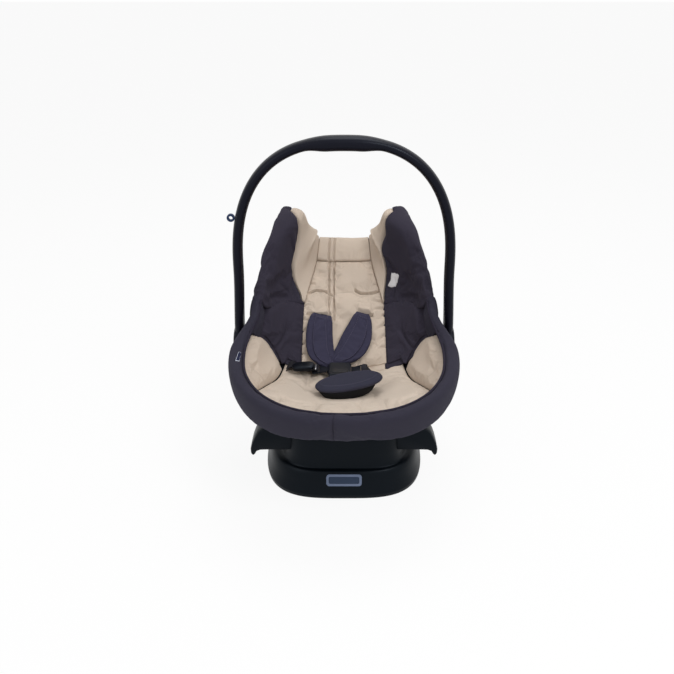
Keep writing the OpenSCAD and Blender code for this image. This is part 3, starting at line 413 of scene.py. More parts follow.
def uvgrid(rows, cols):
    return np.meshgrid(np.linspace(0, 1, rows + 1), np.linspace(0, 1, cols + 1), indexing="ij")


def get_points(mesh):
    flat = np.empty(len(mesh.vertices) * 3)
    mesh.vertices.foreach_get("co", flat)
    return flat.reshape(-1, 3)


def lengths(grid):
    """Place of each grid point along both directions of its own cloth, in millimetres."""
    du = np.linalg.norm(np.diff(grid, axis=0), axis=-1)
    dv = np.linalg.norm(np.diff(grid, axis=1), axis=-1)
    u = np.concatenate([np.zeros((1, grid.shape[1])), np.cumsum(du, 0)])
    v = np.concatenate([np.zeros((grid.shape[0], 1)), np.cumsum(dv, 1)], 1)
    return np.stack([v - v.mean(), u], -1)


def run_along(path):
    """Length of a path up to each of its points."""
    return np.concatenate([[0], np.cumsum(np.linalg.norm(np.diff(path, axis=0), axis=-1))])


def ring_faces(rings, n):
    """Faces of a stack of closed rings of n points each, with both ends shut."""
    faces = [(i * n + j, i * n + (j + 1) % n, (i + 1) * n + (j + 1) % n, (i + 1) * n + j)
             for i in range(rings - 1) for j in range(n)]
    return faces + [tuple(range(n))[::-1], tuple((rings - 1) * n + j for j in range(n))]


def slab(name, top, under, material, **kw):
    """Closed cloth body between two grids of points; the object keeps their rows and columns."""
    m, n = top.shape[:2]
    verts = np.concatenate([top.reshape(-1, 3), under.reshape(-1, 3)])
    uv = np.concatenate([lengths(top).reshape(-1, 2)] * 2)
    at = lambda i, j: i * n + j
    k = m * n
    i, j = m // 2, n // 2
    d1, d2 = top[i + 1, j] - top[i, j], top[i, j + 1] - top[i, j]
    up = np.dot(np.cross(d1, d2), top[i, j] - under[i, j]) > 0
    faces = []
    for i in range(m - 1):
        for j in range(n - 1):
            q = [at(i, j), at(i + 1, j), at(i + 1, j + 1), at(i, j + 1)]
            w = [k + c for c in q]
            faces.append(tuple(q if up else q[::-1]))
            faces.append(tuple(w[::-1] if up else w))
    ring = [at(i, 0) for i in range(m)] + [at(m - 1, j) for j in range(1, n)]
    ring += [at(i, n - 1) for i in range(m - 2, -1, -1)] + [at(0, j) for j in range(n - 2, 0, -1)]
    for a, b in zip(ring, ring[1:] + ring[:1]):
        q = (a, b, k + b, k + a)
        faces.append(q[::-1] if up else q)
    o = make_object(name, verts, faces, material, uv, **kw)
    o["rows"], o["cols"] = m, n
    return o


TUBE_SIDES = 10


def tube(name, path, radius, material, **kw):
    """Round cord along a path."""
    path = np.asarray(path, float)
    side = np.array([0.0, 0, 1])
    verts, uv = [], []
    for p, along, run in zip(path, unit(np.gradient(path, axis=0)), run_along(path)):
        side = unit(side - np.dot(side, along) * along)
        up = np.cross(along, side)
        for j in range(TUBE_SIDES):
            a = 2 * math.pi * j / TUBE_SIDES
            verts.append(p + radius * (math.cos(a) * side + math.sin(a) * up))
            uv.append((radius * a, run))
    return make_object(name, verts, ring_faces(len(path), TUBE_SIDES), material, uv, **kw)


STITCH_STEP, STITCH_LENGTH, STITCH_RADIUS = 4.2, 2.8, 0.45


def stitches(name, path):
    """A row of thread stitches along a path: small closed spindles."""
    run = run_along(path)
    starts = np.arange(STITCH_STEP / 2, run[-1] - STITCH_LENGTH, STITCH_STEP)
    at = lambda r: np.stack([np.interp(r, run, path[:, k]) for k in range(3)], -1)
    verts, faces = [], []
    for p, q in zip(at(starts), at(starts + STITCH_LENGTH)):
        d = unit(q - p)
        s = unit(np.cross(d, [0.31, 0.52, 0.8]))
        w = np.cross(d, s)
        k = len(verts)
        verts.append(p)
        for f in (0.3, 0.7):
            verts += [mix(p, q, f) + STITCH_RADIUS * (math.cos(c) * s + math.sin(c) * w) for c in (0, 1.57, 3.14, 4.71)]
        verts.append(q)
        faces += [(k, k + 1 + (j + 1) % 4, k + 1 + j) for j in range(4)]
        faces += [(k + 1 + j, k + 1 + (j + 1) % 4, k + 5 + (j + 1) % 4, k + 5 + j) for j in range(4)]
        faces += [(k + 5 + j, k + 5 + (j + 1) % 4, k + 9) for j in range(4)]
    return make_object(name, verts, faces, M["thread_dark"], np.zeros((len(verts), 2)), slot="pad_fabric")


def flipped(grid):
    return grid * np.array([-1.0, 1, 1])


def on_side(side, *grids):
    """Grids made for the right side, mirrored for the left one."""
    return [flipped(g) for g in grids] if side < 0 else grids


def both(stem, build):
    """The same piece for each side."""
    return [build("%s_%s" % (stem, hand(side)), side) for side in (1, -1)]


# ---- cloth: pads swell between their pinned seams ----
CLOTH_FRAMES, CLOTH_PRESSURE = 20, 4.0
swelling = []


def puff(o, hold, cap=5.0, slack=0.03):
    """hold: one weight for each point of the top grid, 1 where the cloth is sewn down; cap: the most it swells."""
    inner = np.array(hold, float)
    inner[[0, -1], :] = 1
    inner[:, [0, -1]] = 1
    weight = np.concatenate([np.clip(inner, 0, 1).ravel(), np.ones(o["rows"] * o["cols"])])
    swelling.append((o, weight, cap * MM, slack))


def run_cloth():
    for o, weight, cap, slack in swelling:
        group = o.vertex_groups.new(name="sewn")
        for w in np.unique(np.round(weight, 2)):
            group.add([int(i) for i in np.flatnonzero(np.round(weight, 2) == w)], float(w), "REPLACE")
        cloth = o.modifiers.new("cloth", "CLOTH")
        s = cloth.settings
        s.quality = 5
        s.mass = 0.2
        s.vertex_group_mass = "sewn"
        s.pin_stiffness = 1.0
        s.use_pressure = True
        s.uniform_pressure_force = CLOTH_PRESSURE
        s.shrink_min = -slack
        s.bending_stiffness = 0.05
        s.effector_weights.gravity = 0
        cloth.collision_settings.use_collision = False
        cloth.point_cache.frame_start = 1
        cloth.point_cache.frame_end = CLOTH_FRAMES
    for f in range(1, CLOTH_FRAMES + 1):
        scene.frame_set(f)
    graph = bpy.context.evaluated_depsgraph_get()
    for o, weight, cap, slack in swelling:
        done = o.evaluated_get(graph).to_mesh()
        old, new = get_points(o.data), get_points(done)
        o.evaluated_get(graph).to_mesh_clear()
        size = np.linalg.norm(new - old, axis=1, keepdims=True)
        move = (new - old) * np.where(size > cap, cap / np.maximum(size, 1e-9), 1)
        o.modifiers.clear()
        o.vertex_groups.clear()
        o.data.vertices.foreach_set("co", (old + move).ravel())
        o.data.update()
    scene.frame_set(1)


def bake_modifiers(o):
    graph = bpy.context.evaluated_depsgraph_get()
    mesh = bpy.data.meshes.new_from_object(o.evaluated_get(graph))
    o.modifiers.clear()
    old = o.data
    o.data = mesh
    bpy.data.meshes.remove(old)


def subdivide(o):
    m = o.modifiers.new("fine", "SUBSURF")
    m.levels = m.render_levels = 1
    m.boundary_smooth = "PRESERVE_CORNERS"
    bake_modifiers(o)


def seam_dip(distance, width):
    """1 on a seam, falling off within its width."""
    return np.exp(-(distance / width) ** 2)


def along_line(p, a, b):
    """For points of a plane, the share of the way from a to b that is nearest, and the distance to it."""
    a = np.asarray(a, float)
    d = np.asarray(b, float) - a
    k = np.clip(((p - a) @ d) / (d @ d), 0, 1)
    return k, np.linalg.norm(p - (a + k[..., None] * d), axis=-1)


def path_distance(p, path):
    return np.min([along_line(p, a, b)[1] for a, b in zip(path, path[1:])], axis=0)


def rumple(points, amount, size, seed=3.7):
    """Slow unevenness of stuffed cloth at each point of a grid, in millimetres."""
    flat = points.reshape(-1, 3) / size + seed
    return amount * np.array([noise.noise(Vector(q)) for q in flat]).reshape(points.shape[:-1])


soft = []


def soft_piece(o, replaced, fill=0.6):
    """Marks a finished cushion, and the node of the source that it stands for."""
    soft.append((o, replaced, fill))
    return o


# ---- seat, lobes and back ----
# Pleats of the seat from its front edge: place across it, length, depth, width
PLEATS = ((-128, 120, 5, 3.4), (-96, 80, 3, 3.4), (-52, 118, 6.5, 2.8), (-24, 70, 3, 3), (1, 96, 5, 2.8),
          (34, 112, 6, 2.8), (58, 60, 3, 3), (82, 126, 6, 3), (116, 100, 4, 3.4))
SEAT_FRONT = -268.0


def build_seat():
    u, v = uvgrid(88, 108)
    s = mix(0.15, 7.1, u)
    t = seat_edge(s) * (2 * v - 1)
    top_o = mix(GAP, SEAT_TOP - 2, mix(0.3, 1, crown(u, v, 9)))
    top = surf(s, t, top_o)
    plane = top[..., :2]
    dip = np.zeros_like(u)
    for x, reach, deep, wide in PLEATS:
        near = along_line(plane, (x, SEAT_FRONT), (x * 0.88, SEAT_FRONT + reach))[1]
        fade = np.clip(1 - (plane[..., 1] - SEAT_FRONT) / reach, 0, 1) ** 0.5
        dip += deep * seam_dip(near, wide) * fade
    # gathers along the seams with the side lobes
    edge = np.minimum(v, 1 - v) * 2 * np.abs(bucket(s, seat_edge(s))[..., 0])
    side = np.where(v < 0.5, 0.7, 0)
    dip += np.where(s > 3.4, 3.4 * np.maximum(np.sin(s * 9.5 + side), 0) ** 6 * np.exp(-edge / 12), 0)
    top = surf(s, t, top_o - dip + rumple(top, 1.6, 42) * crown(u, v, 6))
    o = slab("seat_cushion", top, surf(s, t, GAP), M["beige_seat"], slot="beige_fabric")
    puff(o, np.clip(dip / 3, 0, 1) * 0.8, cap=4.5, slack=0.04)
    return soft_piece(o, "seat_pad")


def build_lobe(name, side):
    u, v = uvgrid(60, 40)
    s = mix(3.2, lobe_back(mix(0.465, 0.96, v)), u)
    t = mix(seat_edge(s) + 0.012, 0.962, v)
    # short gathers fan out of the seam with the seat
    gather = 3.6 * np.maximum(np.sin(s * 12 + 0.5 * side), 0) ** 5 * np.exp(-v * 7) * np.clip((s - 3.6) * 2, 0, 1)
    uneven = rumple(surf(s, t, SEAT_TOP), 1.8, 36, 5 + side) * crown(u, v, 6)
    top = surf(s, t, mix(GAP, SEAT_TOP - 1, mix(0.3, 1, crown(u, v, 7))) - gather + uneven)
    o = slab(name, *on_side(side, top, surf(s, t, GAP)), M["beige_lobe"], slot="beige_fabric")
    puff(o, np.zeros_like(u))
    return soft_piece(o, "side_lobe_" + hand(side), 0.7)


# Millimetres from station to station up the back
STATION = 60


def back_mm(x, s):
    """A place on the back laid flat, in millimetres."""
    return x, (s - 7) * STATION


# Quilted back: two close vertical seams, cross seams that sag between them and the edge, and slots for the straps
BACK_SEAMS = (
    [back_mm(-33, 9.12), back_mm(-33, 10.7)], [back_mm(-22, 8.9), back_mm(-22, 10.7)],
    [back_mm(-80, 9.6), back_mm(-64, 9.7), back_mm(-44, 9.72), back_mm(-24, 9.6)],
    [back_mm(24, 9.74), back_mm(36, 9.65), back_mm(56, 9.62), back_mm(78, 9.66)])
SLOTS = ((-80, 8.98, -31, 9.04), (31, 9.04, 62, 8.98))
# Small gathers that run in from the long edges, the fullest beside the slots: side, station, length, depth, slope
GATHERS = (
    (1, 9.32, 30, 4.5, 6), (1, 9.12, 34, 5, 2), (1, 8.93, 30, 4.5, -4), (1, 8.7, 26, 4, -9), (1, 8.4, 20, 3, -6),
    (1, 8.05, 18, 3, 0), (1, 9.85, 14, 2.5, 3), (-1, 9.2, 16, 3, 4), (-1, 8.84, 15, 3, -3), (-1, 8.5, 18, 3.5, 4),
    (-1, 8.15, 18, 3.5, 2), (-1, 7.8, 20, 3, 0), (-1, 9.9, 14, 2.5, 0))


def build_back():
    u, v = uvgrid(128, 88)
    s = mix(7.3, HEAD - 0.42, u)
    x = (back_half(s) + 1.5) * (2 * v - 1)
    plane = np.stack(back_mm(x, s), -1)
    dip = np.max([seam_dip(path_distance(plane, path), 1.7) for path in BACK_SEAMS], axis=0)
    hold = dip > 0.45
    deep = 9.0 * dip
    for x0, s0, x1, s1 in SLOTS:
        near = path_distance(plane, [back_mm(x0, s0), back_mm(x1, s1)])
        deep = np.maximum(deep, 9 * seam_dip(near, 3))
        hold |= near < 2.5
        # the cloth rolls up a little above each slot
        deep -= 4.5 * seam_dip(path_distance(plane, [back_mm(x0 + 5, s0 + 0.15), back_mm(x1 - 5, s1 + 0.15)]), 4.5)
    for side, s0, reach, amount, rise in GATHERS:
        a = np.array(back_mm(side * float(back_half(s0) + 2), s0))
        k, near = along_line(plane, a, a + [-side * reach, rise])
        deep = deep + 1.6 * amount * (1 - k) * seam_dip(near, 2.8)
    top_o = mix(PAD_UNDER, PAD_TOP - 1.5, mix(0.35, 1, crown(u, v, 9)))
    top = on_pad(s, x, top_o - deep + rumple(on_pad(s, x, PAD_TOP), 1.1, 34))
    o = slab("back_quilt", top, on_pad(s, x, PAD_UNDER), M["beige"], slot="beige_fabric")
    puff(o, np.where(hold, 1, 0), cap=4.5, slack=0.05)
    return soft_piece(o, "back_pad")


# ---- wings: a padded wall beside the head, rolled over the rim; sections run from the seam with the back (0) to the
# roll (WALL_KEYS) and down the outside (WING_KEYS) ----
EAR, WING_DROP, SLIM_OUT, WING_OUT, BOLSTER, WALL_KEYS = 7, 34, 12, 16, 18, 5
WING_KEYS = WALL_KEYS + 6
WING_END = HEAD + 0.08
# Place along a wing's section where beige meets dark, for each half station above 9; the cover sits to one side
COLOUR_EDGE = {-1: [0, 0.8, 3.4, 4.9, 7.0], 1: [0, 0.3, 1.3, 3.2, 6.3]}
# Where the wing's padding starts, for places along its section
WING_FOOT = ([0, 2.2, 4, 5, 6, 11], [9.25, 9.0, 8.38, 8.05, 7.9, 7.86])


def wing_fade(s):
    return ease((s - 8.6) / 2)


def seam_t(s):
    return t_at(s, back_half(s) + 2)


def wall_pad(s, w):
    return (PAD_TOP - 4 * (1 - wing_fade(s)) * w + EAR * wing_fade(s) * w
            + BOLSTER * ease((s - 9.2) / 1.8) * (1 - (2 * w - 1) ** 2))


def wing_wall(s):
    w = np.arange(6) / WALL_KEYS
    return w, mix(float(seam_t(s)), 0.93, w)


def wing_top(s):
    """Section of a wing's outer face at a station."""
    f = float(wing_fade(s))
    full = float(ease((s - 9.7) / 1.2))
    r = mix(SLIM_OUT, WING_OUT, f) + 5 * full
    w, t = wing_wall(s)
    wall = surf(np.full(6, s), t, wall_pad(s, w) - 1.5 + 15 * full * ease(w / 0.5))
    over = [(-mix(9, 22, f) - 11 * full, mix(5, 7, f) + 3 * full), (-mix(2, 8, f) - 5 * full, mix(9, 16, f) + 2 * full),
            (r * 0.6, mix(7, 12, f)), (r, mix(-3, 1, f)), (r, -WING_DROP * 0.6), (r * 0.8, -WING_DROP)]
    return np.concatenate([wall, [rim_point(s, *p) for p in over]])


def wing_under(s):
    """Section of the face that lies on the foam and the shell."""
    c = SHELL + GAP
    w, t = wing_wall(s)
    wall = surf(np.full(6, s), t, np.where(w < 1, PAD_UNDER, 4.0))
    over = [(-3, -1), (-1, 1.2), (c, 1.2), (c, -4), (c, -WING_DROP * 0.6), (c, -WING_DROP)]
    return np.concatenate([wall, [rim_point(s, *p) for p in over]])


def colour_edge(s, side):
    return float(spline_at([[k] for k in COLOUR_EDGE[side]], np.clip(2 * (s - 9), 0, 4.2))[..., 0])


# Stations by which a wing's rounded end passes WING_END
CAP = 0.34


def wing_grids(s, q, edge, reach):
    """Top and under grids for stations and places along the section; past WING_END they round off within reach."""
    top, under = np.empty(s.shape + (3,)), np.empty(s.shape + (3,))
    first, span, steps = 7.9, 3.2, 96
    table = np.linspace(first, first + span, steps + 1)
    tops = np.array([wing_top(k) for k in table])
    unders = np.array([wing_under(k) for k in table])
    ahead = unit(wing_under(WING_END) - wing_under(WING_END - 0.3))
    for i in range(s.shape[0]):
        for j in range(s.shape[1]):
            k = (min(s[i, j], WING_END) - first) / span * steps
            a = int(min(max(k, 0), steps - 1))
            p = spline_at(mix(tops[a], tops[a + 1], k - a), q[i, j])
            r = spline_at(mix(unders[a], unders[a + 1], k - a), q[i, j])
            p = r + (p - r) * edge[i, j]
            turn = min(max((s[i, j] - WING_END) / CAP, 0), 1) * math.pi / 2
            if turn:
                mid = mix(r, p, 0.42)
                shut = max(math.cos(turn), 0.01) ** 0.62
                step = spline_at(ahead, q[i, j]) * reach * math.sin(turn)
                p, r = mid + (p - mid) * shut + step, mid + (r - mid) * shut + step
            top[i, j], under[i, j] = p, r
    return top, under


def wing_border(u, v):
    """Share of the padding's thickness, less along the sewn edges."""
    return 1 - 0.3 * np.maximum(np.maximum(1 - 2 * u, 0) ** 16, np.abs(2 * v - 1) ** 16)


# Millimetres for one station and for the whole of t on a side panel, and for one key of a wing's section
PANEL_MM, WING_KEY = np.array([50, 180]), 22


def build_panel(name, side):
    u, v = uvgrid(56, 46)
    t = mix(float(t_at(SHOULDER, 91)), 0.9, v)
    q = (t - 0.35) / 0.58 * WALL_KEYS
    s = mix(panel_front(t), np.interp(q, *WING_FOOT) + 0.1, u)
    low = mix(PAD_UNDER, GAP, ease((v - 0.78) / 0.2))
    plane = np.stack([s, t], -1) * PANEL_MM
    dip = 3.5 * seam_dip(along_line(plane, (8.3, 0.5) * PANEL_MM, (7.2, 0.62) * PANEL_MM)[1], 4)
    top = surf(s, t, low + mix(4, 9.5, crown(u, v)) - dip)
    o = slab(name, *on_side(side, top, surf(s, t, low)), M["dark"], slot="dark_fabric")
    puff(o, np.where(dip > 2.5, 0.7, 0), cap=3, slack=0.04)
    return soft_piece(o, "side_panel_" + hand(side), 0.5)


def build_lining(name, side):
    u, v = uvgrid(62, 36)
    s = mix(9.3, WING_END + CAP, u)
    edge = np.array([[colour_edge(k, side) for k in row] for row in s])
    q = np.maximum(mix(-0.05, edge - 0.05, v), 0)
    grids = wing_grids(s, q, wing_border(u, v), 16 + side)
    o = slab(name, *on_side(side, *grids), M["beige"], slot="beige_fabric")
    puff(o, np.zeros_like(u), cap=3.5)
    return soft_piece(o, "wing_lining_" + hand(side), 0.5)


# Soft folds where the cover turns from the wall to the shoulder:
# path of (station, place along the section), depth, width
WING_FOLDS = (
    ([(8.5, 4.6), (8.85, 3.6), (9.15, 2.2)], 5, 5), ([(8.5, 5.4), (8.8, 4.6), (9.3, 4.1)], 3.2, 7),
    ([(8.5, 8.5), (8.8, 7.8), (9.2, 7.4)], 2.5, 7), ([(9.3, 1.2), (9.7, 2.4), (10.1, 3.1)], 3, 5))


def build_wing(name, side):
    u, v = uvgrid(76, 76)
    s = mix(np.interp(v * WING_KEYS, *WING_FOOT), WING_END + CAP, u)
    edge = np.array([[colour_edge(k, side) if k > 9.3 else 0.0 for k in row] for row in s])
    q = mix(edge, WING_KEYS, v)
    top, under = wing_grids(s, q, wing_border(u, v), 16 + side)
    place = np.stack([s * STATION, q * WING_KEY], -1)
    fold = np.zeros_like(u)
    for path, amount, wide in WING_FOLDS:
        fold += amount * seam_dip(path_distance(place, [(a * STATION, b * WING_KEY) for a, b in path]), wide)
    away = unit(top - under)
    top = top - away * (fold - rumple(top, 2.2, 46, 2 + side) * crown(u, v, 8))[..., None]
    o = slab(name, *on_side(side, top, under), M["dark"], slot="dark_fabric")
    puff(o, np.clip(fold / 5, 0, 0.8), cap=3.5, slack=0.04)
    return soft_piece(o, "wing_cover_" + hand(side))


# Sections of the head cover as (station past HEAD, offset): over the back pad, and the thin wrap left under the wings
HEAD_TAIL = [[0.1, -13], [-0.2, -14], [-0.6, -12]]
HEAD_HEM = [[0.03, -SHELL - GAP], [-0.2, -SHELL - GAP], [-0.6, -SHELL - GAP]]
HEAD_OVER = ([[-0.42, PAD_TOP - 3], [-0.15, PAD_TOP], [0.1, PAD_TOP - 2], [0.28, 8], [0.28, -5]] + HEAD_TAIL,
             [[-0.42, PAD_UNDER], [-0.2, PAD_UNDER], [0.02, 8], [0.05, 4], [0.05, -3]] + HEAD_HEM)
HEAD_WRAP = ([[0.1, 7], [0.13, 7.5], [0.17, 7], [0.2, 4], [0.2, -5]] + HEAD_TAIL,
             [[0.06, 5.6], [0.08, 5.6], [0.09, 5], [0.1, 3], [0.08, -3]] + HEAD_HEM)


def build_head():
    seam = float(seam_t(HEAD))
    share = np.concatenate([np.linspace(0, seam - 0.006, 40), np.linspace(seam + 0.004, 0.9, 34)])
    t = np.concatenate([-share[::-1], share[1:]])
    wing = (np.abs(t) > seam)[:, None]
    x = bucket(HEAD, t)[:, 0]
    # the back's two vertical seams run on over the top
    sewn = 6 * (seam_dip(x + 33, 2) + seam_dip(x + 22, 2))
    count = 44
    places = np.linspace(0, 7, count)
    grids = []
    for middle, outer, seams in zip(HEAD_OVER, HEAD_WRAP, (sewn, 0)):
        rows = []
        for a, b in zip(spline_at(middle, places), spline_at(outer, places)):
            k = np.where(wing, b, a)
            rows.append(surf(HEAD + k[:, 0], t * np.where(k[:, 1] < 0, 0.92, 1), k[:, 1] - seams * (k[:, 1] > 10)))
        grids.append(np.array(rows))
    o = slab("head_edge_cover", *grids, M["beige"], slot="beige_fabric")
    o.data.materials.append(M["dark"])
    n = len(t)
    beyond = [abs(t[(f.vertices[0] % (count * n)) % n]) > seam for f in o.data.polygons]
    o.data.polygons.foreach_set("material_index", [int(k) for k in beyond])
    puff(o, np.zeros((count, n)), cap=2.5, slack=0.02)
    return soft_piece(o, "head_cover", 0.5)


def build_backing():
    """Thin cloth that lines the foam under the seams."""
    u, v = uvgrid(40, 24)
    s = mix(6.95, HEAD + 0.02, u)
    x = (back_half(s) + mix(-2, 5, ease((s - 9.1) / 0.3))) * (2 * v - 1)
    made = [slab("backing_back", on_pad(s, x, 10.2), on_pad(s, x, 8.7), M["beige"], slot="beige_fabric")]
    s = mix(6.9, HEAD + 0.02, u)
    t = mix(t_at(s, back_half(s) + mix(-1.8, 5.2, ease((s - 9.1) / 0.3))), 0.965, v)
    low = mix(8.7, 3.0, ease((v - 0.72) / 0.2))
    for side in (1, -1):
        grids = on_side(side, surf(s, t, low + 1.5), surf(s, t, low))
        made.append(slab("backing_" + hand(side), *grids, M["dark"], slot="dark_fabric"))


# ---- padded roll round the rim ----
ROLL_POINTS = 34


def smooth_path(keys, n):
    return spline_at(keys, np.linspace(0, len(keys) - 1, n))


def profile_rows(stations, profile):
    return np.array([smooth_path(profile(float(s)), ROLL_POINTS) for s in stations])


def roll_side(s):
    """How far the roll stands out from the rim, and how far it hangs down outside."""
    return mix(13, 19, ease((s - 3) / 2)) if s < 5 else mix(19, SLIM_OUT, ease((s - 5.2) / 1.4))


def roll_hang(s):
    return mix(50, 13, ease((s - 4.9) / 1.6))


def roll_outer(s):
    r, d = float(roll_side(s)), float(roll_hang(s))
    # behind the lobes the roll's cover reaches further down inside, over the edge of the side panel
    wide = float(ease((s - 6.1) / 0.7))
    first = mix(rim_point(s, -7, 2.5), surf(s, 0.85, 8.0), wide)
    second = mix(rim_point(s, -6, 7), surf(s, 0.93, 12.0), wide)
    third = mix(rim_point(s, -1, 11), rim_point(s, -4, 9), wide)
    return [first, second, third] + [rim_point(s, *p) for p in (
        (r * 0.6, 9), (r, -1), (r, -d * 0.45), (mix(r, SHELL + 3, 0.4), -d * 0.85), (SHELL + 3, -d))]


def roll_inner(s):
    c, d = SHELL + GAP, float(roll_hang(s))
    return [rim_point(s, *p) for p in (
        (-5, 1.4), (-3, 1), (-0.8, 1), (c, 1), (c, -2), (c, -d * 0.45), (c, -d * 0.85), (c, -d))]


# Where the seam crosses the front of the rim, between the first station on the left (0) and on the right (1)
FRONT_SEAM = 0.29
FRONT_ROWS = np.linspace(0, 1, 14)[1:-1]


def both_halves(rows, w, bulge):
    """Rows of the right half and their mirror image, joined round the front by rows that curve forward."""
    k = w.reshape((-1,) + (1,) * (rows.ndim - 1))
    front = mix(flipped(rows[0]), rows[0], k)
    front[..., 1] -= bulge * (4 * k * (1 - k))[..., 0]
    return np.concatenate([flipped(rows[::-1]), front, rows])


# How far the front of the seat's piping curves forward between the first stations
PIPING_BULGE = 2.2


def front_bulge():
    """The same for the roll, across its profile."""
    return mix(PIPING_BULGE, 3.6, ease(np.linspace(0, 2.5, ROLL_POINTS)))


def build_rim():
    half = np.linspace(0, SHOULDER - 0.02, 130)
    w = np.sort(np.concatenate([FRONT_ROWS, FRONT_SEAM + np.array([-0.025, 0, 0.025])]))
    top = both_halves(profile_rows(half, roll_outer), w, front_bulge())
    under = both_halves(profile_rows(half, roll_inner), w, 0)
    o = slab("rim_roll", top, under, M["rim"], slot="dark_fabric")
    seam = np.zeros(top.shape[:2])
    seam[len(half):len(half) + len(w)] = seam_dip((w - FRONT_SEAM) * 80, 1.8)[:, None]
    verts = get_points(o.data)
    verts[:seam.size] += (verts[seam.size:] - verts[:seam.size]) * 0.22 * seam.reshape(-1, 1)
    o.data.vertices.foreach_set("co", verts.ravel())
    puff(o, np.where(seam > 0.6, 1, 0), cap=2.5, slack=0.02)
    return soft_piece(o, "rim_cover", 0.7)


# ---- harness ----
# Section of the webbing, in shares of its width and thickness
RIBBON_SECTION = [(-0.5, -0.2), (-0.47, -0.5), (0, -0.4), (0.47, -0.5), (0.5, -0.2),
                  (0.5, 0.2), (0.47, 0.5), (0, 0.4), (-0.47, 0.5), (-0.5, 0.2)]


def ribbon(name, path, side, width):
    """Flat webbing along a path, with slightly thick selvedges."""
    path = np.asarray(path, float)
    along = unit(np.gradient(path, axis=0))
    across = unit(side - (along @ side)[:, None] * along)
    up = np.cross(along, across)
    verts, uv = [], []
    for i, (p, run) in enumerate(zip(path, run_along(path))):
        for a, b in RIBBON_SECTION:
            verts.append(p + across[i] * a * width + up[i] * b * WEB_T)
            uv.append((a * width, run))
    return make_object(name, verts, ring_faces(len(path), len(RIBBON_SECTION)), M["web"], uv, slot="webbing")


# Millimetres from station to station under the shoulder pads
PAD_STATION = 56
# Middle line and half width of each shoulder pad as (x, station, half width), from the buckle up
PAD_LINE = {
    -1: [(-25, 6.84, 9), (-33, 7.12, 20), (-43, 7.48, 27), (-52, 7.93, 31), (-55, 8.36, 31), (-54, 8.76, 29),
         (-53, 9.03, 26)],
    1: [(-20, 6.98, 10), (-11, 7.32, 21), (0, 7.62, 27), (18, 8.05, 31), (33, 8.42, 30), (42, 8.77, 25),
        (46, 9.03, 19)],
}
# the right pad lies over the left one
PAD_LIFT = {-1: 0.0, 1: 3.0}


def pad_grid(side, u, v):
    """Station and x of places along (u) and across (v) a shoulder pad."""
    k, a, b = [spline_at(PAD_LINE[side], np.clip(u * 6 + d, 0, 6)) for d in (0, -0.05, 0.05)]
    along = unit((b - a)[..., :2] * [1, PAD_STATION])
    w = k[..., 2] * (2 * v - 1)
    # the outer side rounds in towards the slot, the inner side stays nearly straight
    w = np.where(w * side > 0, w * np.sqrt(1 - np.clip((u - 0.66) / 0.4, 0, 1) ** 2), w)
    return k[..., 1] - w * along[..., 0] / PAD_STATION, k[..., 0] + w * along[..., 1]


def build_strap(name, side):
    """Shoulder strap: from the buckle under its pad, then under the back's cloth to its slot."""
    k = smooth_path([(p[0], p[1]) for p in PAD_LINE[side][1:]], 52)
    drop = 9 * ease((np.linspace(0, 1, 52) - 0.8) / 0.2)
    front = on_pad(k[:, 1], k[:, 0], STRAP_O + PAD_LIFT[side] - 0.5 - drop)
    end = [[BUCKLE_X + side * 6, BUCKLE_Y + BUCKLE_L / 2 - 4, TONGUE_Z + 5]]
    slot = [on_pad(9.03, side * 44, 12), on_pad(9.07, side * 46, 5), on_pad(9.16, side * 48, 4),
            on_pad(SHOULDER_SLOT, side * SHOULDER_X, 3)]
    return ribbon(name, np.concatenate([end, front, slot]), np.array([1.0, 0, 0]), WEB_W * 0.5)


def build_lap_strap():
    """Right lap strap: over the bar of its tongue, then down between the cushions, as in the photograph."""
    bar, y = BUCKLE_X + BUCKLE_W / 2 + 20, BUCKLE_Y + BUCKLE_L / 2 - 12.4
    keys = [(bar, y, TONGUE_Z - 3), (bar, y, TONGUE_Z + 1.5), (bar + 3, y, TONGUE_Z + 3.4), (bar + 8, y, TONGUE_Z + 2)]
    for i in range(2, 9):
        x, y_at, z = on_pad(LAP, mix(bar + 13, LAP_X - 3, i / 8), 7)
        keys.append((x, mix(y, y_at, i / 8), z))
    keys += [on_pad(LAP, LAP_X, 4), on_pad(LAP, LAP_X + 0.2, 1), on_pad(LAP, LAP_X + 0.5, -SHELL - 7)]
    return ribbon("belt_lap_right", smooth_path(keys, 90), np.array([0.0, 1, 0]), WEB_W - 10)


def build_shoulder_pad(name, side):
    low = STRAP_O + WEB_T / 2 + 1.2 + PAD_LIFT[side]
    u, v = uvgrid(56, 34)
    s, x = pad_grid(side, u, v)
    edge = np.minimum(np.minimum(u * 118, (1 - u) * 118), np.minimum(v, 1 - v) * 50)
    seam = seam_dip(edge - 11, 1.6) * (edge < 13)
    low = low - 9 * ease((u - 0.88) / 0.12)
    top = on_pad(s, x, low + mix(2.2, 9.5, mix(crown(u, v, 3), crown(u, v, 8), 0.5)) - 2.2 * seam)
    o = slab(name, top, on_pad(s, x, low), M["pad"], slot="pad_fabric")
    puff(o, np.where(seam > 0.6, 1, 0), cap=3)
    return soft_piece(o, "shoulder_pad_" + hand(side))


def signed_power(v, power):
    return np.sign(v) * np.abs(v) ** power


def superellipse(n, half_w, half_l, power):
    a = np.linspace(0, 2 * math.pi, n + 1)[:-1]
    return np.stack([half_w * signed_power(np.cos(a), 2 / power), half_l * signed_power(np.sin(a), 2 / power)], -1)


